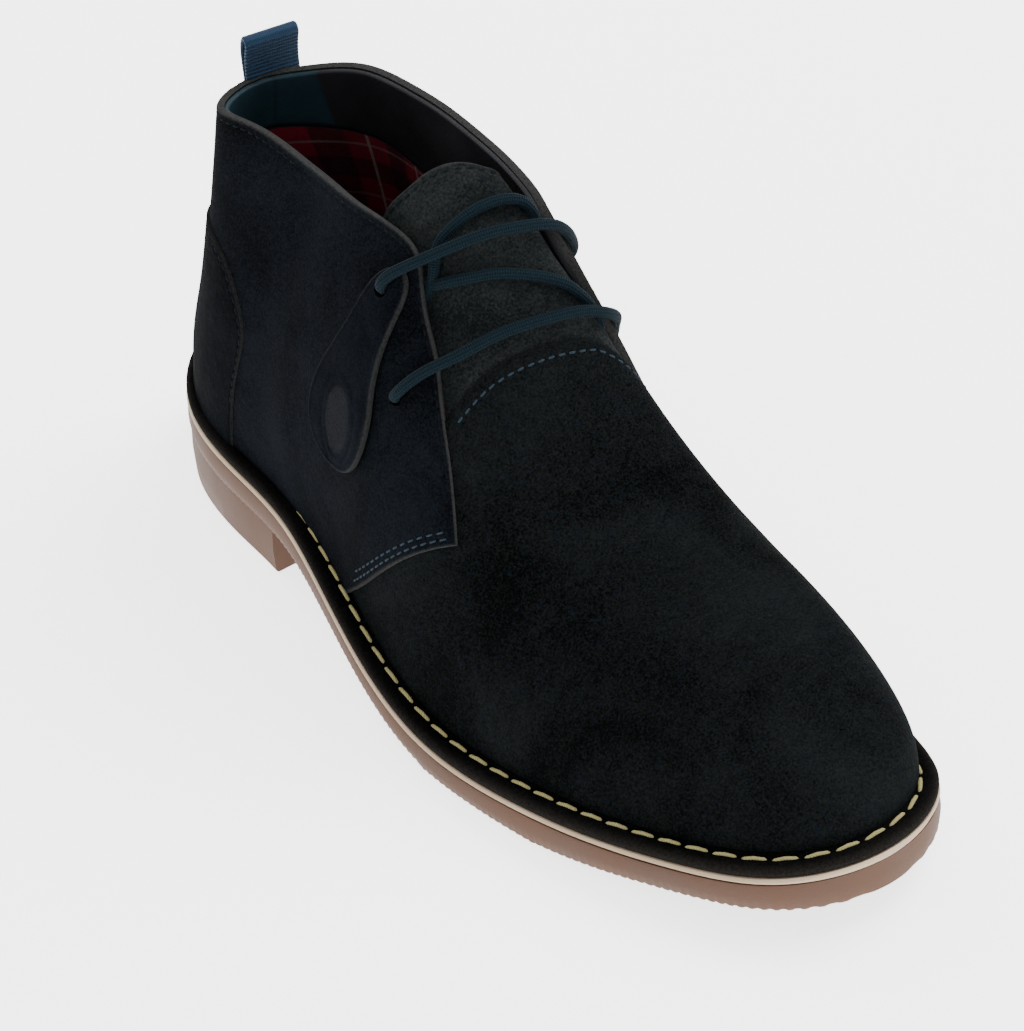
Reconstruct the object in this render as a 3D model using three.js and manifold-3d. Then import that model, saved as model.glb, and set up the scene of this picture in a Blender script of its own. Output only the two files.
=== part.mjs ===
// Chukka boot for the right foot, empty and unworn, with two pairs of eyelets.
//
// Millimetres, +Z up, the floor at Z = 0. The toe points to -Y, the heel to +Y, and the outer side
// of the foot is towards -X. Every curved piece comes from two descriptions: the sole's outline and
// heights, and the last, which is the form inside the upper. A place on the last is given by `at`,
// from 0 at the back of the heel to 1 at the tip of the toe, and by `turn`, from 0 at the outer
// feather edge, over the ridge of the foot at 0.5, to 1 at the inner feather edge.

import * as THREE from 'three';
import { mergeVertices } from 'three/addons/utils/BufferGeometryUtils.js';
import Module from 'manifold-3d';

const wasm = await Module();
wasm.setup();

// ------------------------------------------------------------------------------------------------
// Driving dimensions
// ------------------------------------------------------------------------------------------------

const SOLE_LENGTH = 302;
const HEEL_LENGTH = 79;
const FLAT = { from: 0.58, to: 0.73 };
const MIDSOLE_THICKNESS = 2.2;
const WELT_THICKNESS = 3.0;
const WALL = 2.4;
const CLEARANCE = 0.3;
const FOOTBED_THICKNESS = 4.5;
const TONGUE_THICKNESS = 2.8;
const QUARTER_THICKNESS = 1.5;
const FOB_THICKNESS = 1.6;
const LACE_DIAMETER = 3.6;
const LOOP_WIDTH = 16.4;
const LOOP_THICKNESS = 1.3;

// The upper stands on the sole between these distances from the back of the outsole.
const UPPER_BACK = 4.2;
const UPPER_TIP = 295.7;

// Sole sections: half width to the outer and the inner side of the axis, which drifts across.
const SOLE_SECTIONS = [
  { at: 0.000, outer: 0.0, inner: 0.0 },
  { at: 0.035, outer: 20.0, inner: 22.6 },
  { at: 0.100, outer: 31.9, inner: 35.4 },
  { at: 0.190, outer: 37.0, inner: 39.5 },
  { at: 0.280, outer: 39.2, inner: 37.0 },
  { at: 0.380, outer: 46.6, inner: 31.6 },
  { at: 0.480, outer: 54.2, inner: 39.1 },
  { at: 0.580, outer: 57.8, inner: 47.1 },
  { at: 0.680, outer: 56.1, inner: 48.7 },
  { at: 0.780, outer: 50.6, inner: 45.6 },
  { at: 0.870, outer: 42.1, inner: 38.3 },
  { at: 0.950, outer: 30.6, inner: 29.4 },
  { at: 1.000, outer: 0.0, inner: 0.0 },
];
const AXIS_DRIFT = { linear: -9.9, square: 4.7 };

// Height of the top of the midsole above the floor: heel seat, waist, ball and toe spring.
const SEAT_HEIGHTS = [
  { at: 0.00, height: 25.0 },
  { at: 0.25, height: 23.9 },
  { at: 0.42, height: 18.5 },
  { at: 0.58, height: 10.2 },
  { at: 0.72, height: 11.0 },
  { at: 0.86, height: 14.8 },
  { at: 1.00, height: 21.1 },
];

// Height of the underside of the outsole in front of the heel block. It is flat under the ball.
const TREAD_HEIGHTS = [
  { at: 0.00, height: 13.7 },
  { at: 0.27, height: 13.7 },
  { at: 0.42, height: 9.6 },
  { at: 0.54, height: 2.4 },
  { at: 0.60, height: 0.0 },
  { at: 0.72, height: 0.0 },
  { at: 0.80, height: 2.4 },
  { at: 0.90, height: 6.1 },
  { at: 1.00, height: 9.5 },
];

// Sections of the last: half widths at the feather edge, height of the ridge above it, and how far
// the ridge lies to the inner side. Over the ankle the ridge is above the collar and is cut away.
const LAST_SECTIONS = [
  { at: 0.000, outer: 0.0, inner: 0.0, high: 190.0, ridge: 0 },
  { at: 0.050, outer: 21.0, inner: 22.0, high: 170.0, ridge: 0 },
  { at: 0.130, outer: 30.5, inner: 34.6, high: 150.0, ridge: 3 },
  { at: 0.230, outer: 32.5, inner: 33.6, high: 148.0, ridge: 8 },
  { at: 0.340, outer: 37.0, inner: 29.4, high: 134.0, ridge: 12 },
  { at: 0.450, outer: 45.4, inner: 31.3, high: 109.0, ridge: 14 },
  { at: 0.560, outer: 50.8, inner: 36.4, high: 79.0, ridge: 17 },
  { at: 0.670, outer: 50.1, inner: 42.5, high: 51.0, ridge: 19 },
  { at: 0.780, outer: 44.8, inner: 41.0, high: 39.0, ridge: 18 },
  { at: 0.880, outer: 35.9, inner: 35.2, high: 30.5, ridge: 14 },
  { at: 0.955, outer: 25.2, inner: 26.6, high: 18.5, ridge: 7 },
  { at: 1.000, outer: 0.0, inner: 0.0, high: 0.0, ridge: 0 },
];

// The flanks of the same sections: how full each one is, as the power of its superellipse, and the
// share of its width that it has lost to the ankle at LEAN_HEIGHT above the feather edge.
const FLANK_SECTIONS = [
  { at: 0.000, outerFull: 2.50, innerFull: 2.50, outerLean: 0.20, innerLean: 0.30 },
  { at: 0.050, outerFull: 2.50, innerFull: 2.35, outerLean: 0.18, innerLean: 0.28 },
  { at: 0.130, outerFull: 2.20, innerFull: 2.25, outerLean: 0.32, innerLean: 0.16 },
  { at: 0.230, outerFull: 2.10, innerFull: 2.35, outerLean: 0.32, innerLean: 0.06 },
  { at: 0.340, outerFull: 2.20, innerFull: 2.60, outerLean: 0.28, innerLean: -0.18 },
  { at: 0.450, outerFull: 2.20, innerFull: 2.60, outerLean: 0.16, innerLean: -0.17 },
  { at: 0.560, outerFull: 2.00, innerFull: 2.45, outerLean: 0.03, innerLean: -0.01 },
  { at: 0.670, outerFull: 1.90, innerFull: 2.50, outerLean: 0.00, innerLean: 0.00 },
  { at: 0.780, outerFull: 1.90, innerFull: 2.60, outerLean: 0.00, innerLean: 0.00 },
  { at: 0.880, outerFull: 1.95, innerFull: 2.60, outerLean: 0.00, innerLean: 0.00 },
  { at: 0.955, outerFull: 2.05, innerFull: 2.50, outerLean: 0.00, innerLean: 0.00 },
  { at: 1.000, outerFull: 2.15, innerFull: 2.40, outerLean: 0.00, innerLean: 0.00 },
];
const LEAN_HEIGHT = 100;
const RIDGE_FADE = 12;

// The back of the heel in side view: how far it lies forward of the heel seat at each height.
const BACK_CURVE = [
  { height: 28, forward: 0.0 },
  { height: 45, forward: 3.8 },
  { height: 65, forward: 12.0 },
  { height: 90, forward: 19.5 },
  { height: 120, forward: 25.0 },
  { height: 150, forward: 27.5 },
];
const BACK_REACH = 0.35;

// The collar from the back to the top of the throat, and on down the throat's edge, in side view.
const COLLAR = {
  outer: [
    { along: 26.0, height: 123.6 },
    { along: 34.0, height: 124.8 },
    { along: 45.0, height: 127.0 },
    { along: 60.0, height: 127.5 },
    { along: 80.0, height: 126.0 },
    { along: 100.0, height: 125.3 },
    { along: 115.0, height: 125.2 },
    { along: 123.0, height: 123.8 },
    { along: 127.0, height: 121.6 },
    { along: 130.5, height: 117.9 },
  ],
  inner: [
    { along: 26.0, height: 123.6 },
    { along: 34.0, height: 124.8 },
    { along: 45.0, height: 127.5 },
    { along: 60.0, height: 129.5 },
    { along: 75.0, height: 130.0 },
    { along: 90.0, height: 129.5 },
    { along: 105.0, height: 128.0 },
    { along: 120.0, height: 126.0 },
    { along: 130.0, height: 124.3 },
    { along: 138.0, height: 121.3 },
    { along: 144.0, height: 115.5 },
  ],
};
const THROAT = {
  outer: [
    { along: 136.3, height: 110.1 },
    { along: 143.5, height: 101.8 },
    { along: 151.5, height: 90.3 },
  ],
  inner: [
    { along: 149.3, height: 106.6 },
    { along: 156.1, height: 95.4 },
  ],
};

// The seam between vamp and tongue, and the tongue's top edge: each is an arc across the ridge.
const VAMP_SEAM = { at: 0.556, bow: 0.55, turn: 0.55, from: 0.2718, to: 0.7200 };
const TONGUE_TOP = { at: 0.436, bow: 0.95, turn: 0.57 };
const TONGUE_TUCK = 0.034;
const TONGUE_SIDES = { low: 0.255, high: 0.725 };
const TONGUE_TOP_SIDES = { low: 0.300, high: 0.640 };

// Fob: a flat tab hung on the upper outer eyelet, by share of its length down from the top.
const FOB_TOP = 117.5;
const FOB_BOTTOM = 60.0;
const FOB_SECTIONS = [
  { at: 0.00, middle: 122.0, half: 0.0 },
  { at: 0.10, middle: 121.2, half: 6.0 },
  { at: 0.30, middle: 119.0, half: 8.5 },
  { at: 0.48, middle: 117.0, half: 11.5 },
  { at: 0.60, middle: 116.0, half: 14.0 },
  { at: 0.74, middle: 115.0, half: 14.9 },
  { at: 0.91, middle: 114.3, half: 11.6 },
  { at: 1.00, middle: 114.0, half: 0.0 },
];

// Laces: where the middle of the cord runs over the last, and its height above it.
const LACE_LOWER = [
  { at: 0.461, turn: 0.222, proud: 3.3 },
  { at: 0.477, turn: 0.268, proud: 3.8 },
  { at: 0.495, turn: 0.327, proud: 3.6 },
  { at: 0.510, turn: 0.392, proud: 3.4 },
  { at: 0.521, turn: 0.455, proud: 3.7 },
  { at: 0.528, turn: 0.520, proud: 4.0 },
  { at: 0.528, turn: 0.590, proud: 4.1 },
  { at: 0.521, turn: 0.665, proud: 4.0 },
  { at: 0.508, turn: 0.735, proud: 3.8 },
  { at: 0.492, turn: 0.800, proud: 3.3 },
];
const LACE_UPPER = [
  { at: 0.399, turn: 0.246, proud: 5.9 },
  { at: 0.407, turn: 0.272, proud: 5.9 },
  { at: 0.422, turn: 0.306, proud: 4.6 },
  { at: 0.441, turn: 0.362, proud: 4.2 },
  { at: 0.456, turn: 0.430, proud: 4.2 },
  { at: 0.466, turn: 0.497, proud: 4.2 },
  { at: 0.470, turn: 0.560, proud: 4.2 },
  { at: 0.469, turn: 0.625, proud: 4.2 },
  { at: 0.462, turn: 0.685, proud: 4.0 },
  { at: 0.452, turn: 0.738, proud: 3.3 },
];
const LACE_CROSS_LOW = [
  { at: 0.452, turn: 0.352, proud: -0.3 },
  { at: 0.463, turn: 0.378, proud: -0.3 },
  { at: 0.479, turn: 0.431, proud: -0.3 },
  { at: 0.495, turn: 0.484, proud: -0.3 },
  { at: 0.509, turn: 0.530, proud: -0.3 },
  { at: 0.520, turn: 0.580, proud: -0.3 },
  { at: 0.526, turn: 0.625, proud: -0.3 },
];
const LACE_CROSS_HIGH = [
  { at: 0.452, turn: 0.352, proud: -0.3 },
  { at: 0.442, turn: 0.358, proud: -0.3 },
  { at: 0.437, turn: 0.380, proud: -0.3 },
  { at: 0.437, turn: 0.420, proud: -0.3 },
  { at: 0.442, turn: 0.470, proud: -0.3 },
  { at: 0.449, turn: 0.517, proud: -0.3 },
  { at: 0.457, turn: 0.555, proud: -0.5 },
];

// Pull loop in side view, from its foot inside the heel to its fold: the middle of the two layers
// and half their thickness together.
const LOOP_SECTIONS = [
  { height: 112.0, middle: 38.7, half: 1.4 },
  { height: 125.0, middle: 38.7, half: 1.4 },
  { height: 129.0, middle: 39.0, half: 2.0 },
  { height: 133.0, middle: 40.2, half: 2.5 },
  { height: 136.5, middle: 42.1, half: 2.6 },
  { height: 139.0, middle: 43.9, half: 2.1 },
  { height: 140.6, middle: 45.3, half: 0.8 },
];
const LOOP_MIDDLE = 0.6;

// Steps of the curved pieces.
const SOLE_STEPS = 44;
const LAST_STEPS = 44;
const LAST_TURNS = 31;
const LACE_SIDES = 8;
const SKIRT = 16;
const SOLE_BEVEL = 1.2;
const BREAST_RADIUS = 110;
const BREAST_HOLLOW = 3;

// ------------------------------------------------------------------------------------------------
// Tables and curves
// ------------------------------------------------------------------------------------------------

const clamp = (value, low, high) => Math.min(Math.max(value, low), high);
const mix = (a, b, share) => a + (b - a) * share;
const steps = (count) => Array.from({ length: count + 1 }, (_, i) => i / count);

/** Natural cubic spline through the points (xs, ys), as a function of x. */
function spline(xs, ys) {
  const last = xs.length - 1;
  const bend = new Array(last + 1).fill(0);
  const load = new Array(last + 1).fill(0);
  for (let i = 1; i < last; i += 1) {
    const share = (xs[i] - xs[i - 1]) / (xs[i + 1] - xs[i - 1]);
    const pivot = share * bend[i - 1] + 2;
    const before = (ys[i] - ys[i - 1]) / (xs[i] - xs[i - 1]);
    const after = (ys[i + 1] - ys[i]) / (xs[i + 1] - xs[i]);
    bend[i] = (share - 1) / pivot;
    load[i] = ((6 * (after - before)) / (xs[i + 1] - xs[i - 1]) - share * load[i - 1]) / pivot;
  }
  bend[last] = 0;
  for (let i = last - 1; i > 0; i -= 1) bend[i] = bend[i] * bend[i + 1] + load[i];
  return (x) => {
    const held = clamp(x, xs[0], xs[last]);
    let i = 0;
    while (i < last - 1 && held > xs[i + 1]) i += 1;
    const width = xs[i + 1] - xs[i];
    const b = (held - xs[i]) / width;
    const a = 1 - b;
    const bow = ((a ** 3 - a) * bend[i] + (b ** 3 - b) * bend[i + 1]) * width ** 2;
    return a * ys[i] + b * ys[i + 1] + bow / 6;
  };
}

/** Angle whose cosine falls from 1 at the heel to -1 at the toe, so that both ends come out round. */
const swing = (at) => Math.acos(1 - 2 * clamp(at, 0, 1));

/** One column of a table with rows by `at`, as a smooth function of `at` with round ends. */
function column(rows, name) {
  const curve = spline(rows.map((row) => swing(row.at)), rows.map((row) => row[name]));
  return (at) => curve(swing(at));
}

/** One column of a table, as a smooth function of the column that its rows are sorted by. */
function profile(rows, key, name) {
  return spline(rows.map((row) => row[key]), rows.map((row) => row[name]));
}

/** Places along the boot, closer together at the round ends. */
const stations = (count) => steps(count).map((share) => (1 - Math.cos(Math.PI * share)) / 2);

// ------------------------------------------------------------------------------------------------
// The sole's outline and heights
// ------------------------------------------------------------------------------------------------

const SIGN = { outer: -1, inner: 1 };
const soleHalf = { outer: column(SOLE_SECTIONS, 'outer'), inner: column(SOLE_SECTIONS, 'inner') };
const seatHeight = profile(SEAT_HEIGHTS, 'at', 'height');
const treadCurve = profile(TREAD_HEIGHTS, 'at', 'height');
const treadHeight = (at) => (at > FLAT.from && at < FLAT.to ? 0 : Math.max(treadCurve(at), 0));

/** Sideways place of the sole's axis. */
const axisX = (at) => AXIS_DRIFT.linear * at + AXIS_DRIFT.square * at ** 2;

/** Sideways place of the sole's edge. */
const edgeX = (at, side) => axisX(at) + SIGN[side] * Math.max(soleHalf[side](at), 0);

/** Middle of the sole's two sides, which is put over the origin. */
const CENTRE_X = (() => {
  const low = Math.min(...steps(400).map((at) => edgeX(at, 'outer')));
  const high = Math.max(...steps(400).map((at) => edgeX(at, 'inner')));
  return (low + high) / 2;
})();

/** Point of the model from its place across, its distance from the heel, and its height. */
const place = (x, along, z) => new THREE.Vector3(x - CENTRE_X, SOLE_LENGTH / 2 - along, z);

// ------------------------------------------------------------------------------------------------
// The last
// ------------------------------------------------------------------------------------------------

const high = column(LAST_SECTIONS, 'high');
const ridgeShift = column(LAST_SECTIONS, 'ridge');
const half = { outer: column(LAST_SECTIONS, 'outer'), inner: column(LAST_SECTIONS, 'inner') };
const full = { outer: column(FLANK_SECTIONS, 'outerFull'), inner: column(FLANK_SECTIONS, 'innerFull') };
const lean = { outer: column(FLANK_SECTIONS, 'outerLean'), inner: column(FLANK_SECTIONS, 'innerLean') };
const backCurve = profile(BACK_CURVE, 'height', 'forward');

/** Distance from the back of the outsole of a station of the last. */
const alongLast = (at) => mix(UPPER_BACK, UPPER_TIP, at);

/** Height of the feather edge, where the upper turns in over the welt. */
const featherHeight = (along) => seatHeight(along / SOLE_LENGTH) + CLEARANCE + WELT_THICKNESS;

/**
 * Point on the last. Each section is a superellipse on the feather edge. Its ridge lies to the inner
 * side, its flanks lean in towards the ankle, and the back curve moves the heel's back forward.
 */
function lastPoint(at, turn) {
  const side = turn < 0.5 ? 'outer' : 'inner';
  const power = 2 / full[side](at);
  const width = Math.max(half[side](at), 0);
  const rise = Math.max(high(at), 0) * Math.abs(Math.sin(Math.PI * turn)) ** power;
  const ridge = ridgeShift(at) * Math.min(1, width / RIDGE_FADE);
  const reach = (SIGN[side] * width - ridge) * Math.abs(Math.cos(Math.PI * turn)) ** power;
  const taper = 1 - lean[side](at) * (rise / LEAN_HEIGHT) ** 2;
  const flat = alongLast(at);
  const z = featherHeight(flat) + rise;
  const along = flat + backCurve(z) * Math.max(0, 1 - at / BACK_REACH) ** 2;
  return place(axisX(flat / SOLE_LENGTH) + ridge + reach * taper, along, z);
}

/** Outward direction of the last's surface. At the two ends it lies in the middle plane. */
function lastNormal(at, turn) {
  const nudge = 0.001;
  const held = clamp(at, 3 * nudge, 1 - 3 * nudge);
  const direct = (where) => {
    const forward = lastPoint(held + nudge, where).sub(lastPoint(held - nudge, where));
    const over = lastPoint(held, Math.min(where + nudge, 1)).sub(lastPoint(held, Math.max(where - nudge, 0)));
    return forward.cross(over).normalize();
  };
  if (at <= 0) return direct(turn).add(direct(1 - turn)).setX(0).normalize();
  if (at >= 1) return new THREE.Vector3(0, -1, 0);
  return direct(turn);
}

/** Point that stands proud of the last by a distance along its normal. */
const proudPoint = (at, turn, proud) => lastPoint(at, turn).addScaledVector(lastNormal(at, turn), proud);

/** Turn at which a station of the last reaches a height, on one side. */
function turnAtHeight(at, z, side) {
  const share = clamp((z - featherHeight(alongLast(at))) / high(at), 0, 1);
  const turn = Math.asin(share ** (full[side](at) / 2)) / Math.PI;
  return side === 'outer' ? turn : 1 - turn;
}

// ------------------------------------------------------------------------------------------------
// Solids
// ------------------------------------------------------------------------------------------------

/** Geometry whose shared corners are merged, without the faces that closed up at a point. */
function weld(positions, indices) {
  const loose = new THREE.BufferGeometry();
  loose.setAttribute('position', new THREE.Float32BufferAttribute(positions, 3));
  loose.setIndex(indices);
  const geometry = mergeVertices(loose, 1e-4);
  const corners = Array.from(geometry.index.array);
  const kept = [];
  for (let i = 0; i < corners.length; i += 3) {
    const [a, b, c] = corners.slice(i, i + 3);
    if (a !== b && b !== c && c !== a) kept.push(a, b, c);
  }
  geometry.setIndex(kept);
  return geometry;
}

/** Manifold solid of a geometry. */
function solidOf(geometry) {
  const bare = new THREE.BufferGeometry();
  bare.setAttribute('position', geometry.getAttribute('position').clone());
  bare.setIndex(geometry.index ? Array.from(geometry.index.array) : steps(
    geometry.getAttribute('position').count - 1,
  ).map((_, i) => i));
  const welded = weld(Array.from(bare.getAttribute('position').array), Array.from(bare.index.array));
  return new wasm.Manifold(new wasm.Mesh({
    numProp: 3,
    vertProperties: new Float32Array(welded.getAttribute('position').array),
    triVerts: new Uint32Array(welded.index.array),
  }));
}

/**
 * Closed solid through rings of points, all of one even length. Point j of a ring faces point j from
 * its end. An end ring is closed by the strip between them, which vanishes where the ring is flat.
 */
function ringSolid(rings) {
  const count = rings[0].length;
  const positions = rings.flatMap((ring) => ring.flatMap((point) => point.toArray()));
  const indices = [];
  const quad = (a, b, c, d) => indices.push(a, b, c, a, c, d);
  for (let i = 0; i + 1 < rings.length; i += 1) {
    for (let j = 0; j < count; j += 1) {
      const next = (j + 1) % count;
      quad(i * count + j, i * count + next, (i + 1) * count + next, (i + 1) * count + j);
    }
  }
  const end = (rings.length - 1) * count;
  for (let j = 0; j + 1 < count / 2; j += 1) {
    quad(count - 1 - j, count - 2 - j, j + 1, j);
    quad(end + j, end + j + 1, end + count - 2 - j, end + count - 1 - j);
  }
  const solid = solidOf(weld(positions, indices));
  return solid.volume() < 0 ? solidOf(flipped(weld(positions, indices))) : solid;
}

/** Geometry with its faces turned over. */
function flipped(geometry) {
  const corners = Array.from(geometry.index.array);
  for (let i = 0; i < corners.length; i += 3) [corners[i], corners[i + 1]] = [corners[i + 1], corners[i]];
  geometry.setIndex(corners);
  return geometry;
}

/** Solid between two heights over the sole's outline, with its lower edge bevelled. */
function soleLayer(low, top, bevel = 0) {
  const rings = stations(SOLE_STEPS).map((at) => {
    const left = edgeX(at, 'outer');
    const right = edgeX(at, 'inner');
    const inset = Math.min(bevel, (right - left) / 3);
    const along = at * SOLE_LENGTH;
    const ends = clamp(along, bevel, SOLE_LENGTH - bevel);
    const half = [
      place(left + inset, ends, low(at)),
      place(left, along, low(at) + bevel),
      place(left, along, top(at)),
    ];
    const other = [
      place(right, along, top(at)),
      place(right, along, low(at) + bevel),
      place(right - inset, ends, low(at)),
    ];
    return [...half, ...other];
  });
  return ringSolid(rings);
}

/** Solid of the last grown by a distance, with its sides carried down below the welt. */
function lastForm(proud) {
  const rings = stations(LAST_STEPS).map((at) => {
    const over = steps(LAST_TURNS).map((turn) => proudPoint(at, turn, proud));
    const down = (point) => point.clone().setZ(point.z - SKIRT);
    return [down(over[0]), ...over, down(over[LAST_TURNS])];
  });
  return ringSolid(rings);
}

/** Slab through the boot from side to side: an outline in side view between two places across. */
function sideSlab(outline, from, to) {
  const shape = new THREE.Shape(outline.map(({ along, height }) => new THREE.Vector2(along, height)));
  const geometry = new THREE.ExtrudeGeometry(shape, { depth: to - from, bevelEnabled: false });
  geometry.applyMatrix4(new THREE.Matrix4().makeBasis(
    new THREE.Vector3(0, -1, 0),
    new THREE.Vector3(0, 0, 1),
    new THREE.Vector3(-1, 0, 0),
  ));
  geometry.translate(to, SOLE_LENGTH / 2, 0);
  return solidOf(geometry);
}

/** Slab above a height that varies along the boot. */
function slabAbove(low) {
  const outline = steps(60).map((share) => {
    const along = mix(-20, SOLE_LENGTH + 20, share);
    return { along, height: low(along / SOLE_LENGTH) };
  });
  const roof = [{ along: SOLE_LENGTH + 20, height: 300 }, { along: -20, height: 300 }];
  return sideSlab([...outline, ...roof], -150, 150);
}

/** Sheet that follows the last between two distances from it. Each row is a line of its places. */
function lastSheet(rows, low, top) {
  return ringSolid(rows.map((row) => [
    ...row.map(({ at, turn }) => proudPoint(at, turn, top)),
    ...row.map(({ at, turn }) => proudPoint(at, turn, low)).reverse(),
  ]));
}

/** Round cord along a path over the last. */
function cord(rows) {
  const path = new THREE.CatmullRomCurve3(rows.map(({ at, turn, proud }) => proudPoint(at, turn, proud)));
  const radius = LACE_DIAMETER / 2;
  const round = new THREE.Shape(steps(LACE_SIDES).slice(0, -1).map((share) => (
    new THREE.Vector2(radius * Math.cos(2 * Math.PI * share), radius * Math.sin(2 * Math.PI * share))
  )));
  const count = Math.ceil(path.getLength() / (2 * LACE_DIAMETER));
  const geometry = new THREE.ExtrudeGeometry(round, { steps: count, extrudePath: path, bevelEnabled: false });
  const solid = solidOf(geometry);
  return solid;
}

/** Mesh with the finish of its piece. */
function piece(name, solid, finish) {
  const mesh = solid.getMesh();
  const geometry = new THREE.BufferGeometry();
  geometry.setAttribute('position', new THREE.Float32BufferAttribute(mesh.vertProperties, 3));
  geometry.setIndex(Array.from(mesh.triVerts));
  geometry.computeVertexNormals();
  const part = new THREE.Mesh(geometry, new THREE.MeshStandardMaterial(finish));
  part.name = name;
  return part;
}

// ------------------------------------------------------------------------------------------------
// The sole: outsole with its heel, midsole, welt and footbed
// ------------------------------------------------------------------------------------------------

const shift = (height, by) => (at) => height(at) + by;
const outsoleTop = shift(seatHeight, -MIDSOLE_THICKNESS - CLEARANCE);
const feather = shift(seatHeight, CLEARANCE);
const weltTop = shift(seatHeight, CLEARANCE + WELT_THICKNESS);
const footbedTop = shift(seatHeight, CLEARANCE + FOOTBED_THICKNESS);

/** Heel block: the back of the sole's outline, cut off by a hollow breast. */
function heelBlock() {
  const block = soleLayer(() => 0, shift(outsoleTop, -2), SOLE_BEVEL);
  const round = new THREE.CylinderGeometry(BREAST_RADIUS, BREAST_RADIUS, 100, 96);
  round.rotateX(Math.PI / 2);
  round.translate(0, SOLE_LENGTH / 2 - HEEL_LENGTH - BREAST_RADIUS + BREAST_HOLLOW, 0);
  const front = sideSlab([
    { along: HEEL_LENGTH, height: -50 },
    { along: SOLE_LENGTH + 50, height: -50 },
    { along: SOLE_LENGTH + 50, height: 50 },
    { along: HEEL_LENGTH, height: 50 },
  ], -150, 150);
  return block.subtract(solidOf(round)).subtract(front);
}

const outsole = soleLayer(treadHeight, outsoleTop, SOLE_BEVEL).add(heelBlock());
const midsole = soleLayer(shift(seatHeight, -MIDSOLE_THICKNESS), seatHeight);
const welt = soleLayer(feather, weltTop).subtract(lastForm(CLEARANCE));
const footbed = soleLayer(feather, footbedTop).intersect(lastForm(-WALL - CLEARANCE));

// ------------------------------------------------------------------------------------------------
// The upper: one hollow shell, open at the collar, down the throat, and underneath
// ------------------------------------------------------------------------------------------------

const arcAt = ({ at, bow, turn }) => (where) => at - bow * (where - turn) ** 2;
const seamAt = arcAt(VAMP_SEAM);
const tongueTopAt = arcAt(TONGUE_TOP);
const RIDGE_SPLIT = lastPoint(VAMP_SEAM.at, 0.5).x;

/** Line in side view drawn smoothly through the rows of a table. */
function smoothLine(rows, count) {
  const points = rows.map(({ along, height }) => new THREE.Vector2(along, height));
  return new THREE.SplineCurve(points).getSpacedPoints(count).map(({ x, y }) => ({ along: x, height: y }));
}

/** Outline in side view of what one side's opening takes out of the shell. */
function openingOutline(side) {
  const edge = side === 'outer' ? VAMP_SEAM.from : VAMP_SEAM.to;
  const seam = steps(8).map((share) => {
    const turn = mix(edge, 0.5, share);
    const point = lastPoint(seamAt(turn), turn);
    return { along: SOLE_LENGTH / 2 - point.y, height: point.z };
  });
  const top = seam[seam.length - 1];
  const away = { along: top.along + 6, height: top.height + 20 };
  const roof = [{ along: top.along + 6, height: 300 }, { along: COLLAR[side][0].along, height: 300 }];
  return [...smoothLine(COLLAR[side], 30), ...THROAT[side], ...seam, away, ...roof];
}

const opening = sideSlab(openingOutline('outer'), -150, RIDGE_SPLIT + CLEARANCE)
  .add(sideSlab(openingOutline('inner'), RIDGE_SPLIT, 150));
const upper = lastForm(0)
  .subtract(lastForm(-WALL))
  .intersect(slabAbove(feather))
  .subtract(opening);

/** Tongue: a padded sheet under the throat, tucked under the vamp in front. */
function tongueRows() {
  return steps(14).map((down) => {
    const low = mix(TONGUE_TOP_SIDES.low, TONGUE_SIDES.low, down);
    const top = mix(TONGUE_TOP_SIDES.high, TONGUE_SIDES.high, down);
    return steps(17).map((share) => {
      const turn = mix(low, top, share);
      return { at: mix(tongueTopAt(turn), seamAt(turn) + TONGUE_TUCK, down), turn };
    });
  });
}

const TONGUE_FACE = -WALL - 2 * CLEARANCE;
const tongue = lastSheet(tongueRows(), TONGUE_FACE - TONGUE_THICKNESS, TONGUE_FACE);

// ------------------------------------------------------------------------------------------------
// Laces, fob and pull loop
// ------------------------------------------------------------------------------------------------

/** Fob: rows across the tab, each from its back edge to its front edge. */
function fobRows() {
  const middle = column(FOB_SECTIONS, 'middle');
  const width = column(FOB_SECTIONS, 'half');
  return stations(16).map((down) => steps(5).map((share) => {
    const along = middle(down) + Math.max(width(down), 0) * (2 * share - 1);
    const at = (along - UPPER_BACK) / (UPPER_TIP - UPPER_BACK);
    return { at, turn: turnAtHeight(at, mix(FOB_TOP, FOB_BOTTOM, down), 'outer') };
  }));
}

const fob = lastSheet(fobRows(), QUARTER_THICKNESS + CLEARANCE, QUARTER_THICKNESS + CLEARANCE + FOB_THICKNESS);

/** Pull loop: webbing folded in two, whose layers part above the rim. */
function pullLoop() {
  const outline = (inset) => {
    const rows = LOOP_SECTIONS.filter(({ half: width }) => width - inset > 0.1);
    const back = rows.map(({ height, middle, half: width }) => new THREE.Vector2(middle - width + inset, height));
    const front = rows.map(({ height, middle, half: width }) => new THREE.Vector2(middle + width - inset, height));
    return [...back, ...front.reverse()];
  };
  const shape = new THREE.Shape(outline(0));
  shape.holes.push(new THREE.Path(outline(LOOP_THICKNESS)));
  return shape;
}

const loopShape = pullLoop();
const loopOutline = loopShape.getPoints().map(({ x, y }) => ({ along: x, height: y }));
const loopGap = loopShape.holes[0].getPoints().map(({ x, y }) => ({ along: x, height: y }));
const loopSides = [LOOP_MIDDLE - CENTRE_X - LOOP_WIDTH / 2, LOOP_MIDDLE - CENTRE_X + LOOP_WIDTH / 2];
const loop = sideSlab(loopOutline, ...loopSides).subtract(sideSlab(loopGap, loopSides[0] - 5, loopSides[1] + 5));

// ------------------------------------------------------------------------------------------------
// The boot
// ------------------------------------------------------------------------------------------------

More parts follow.
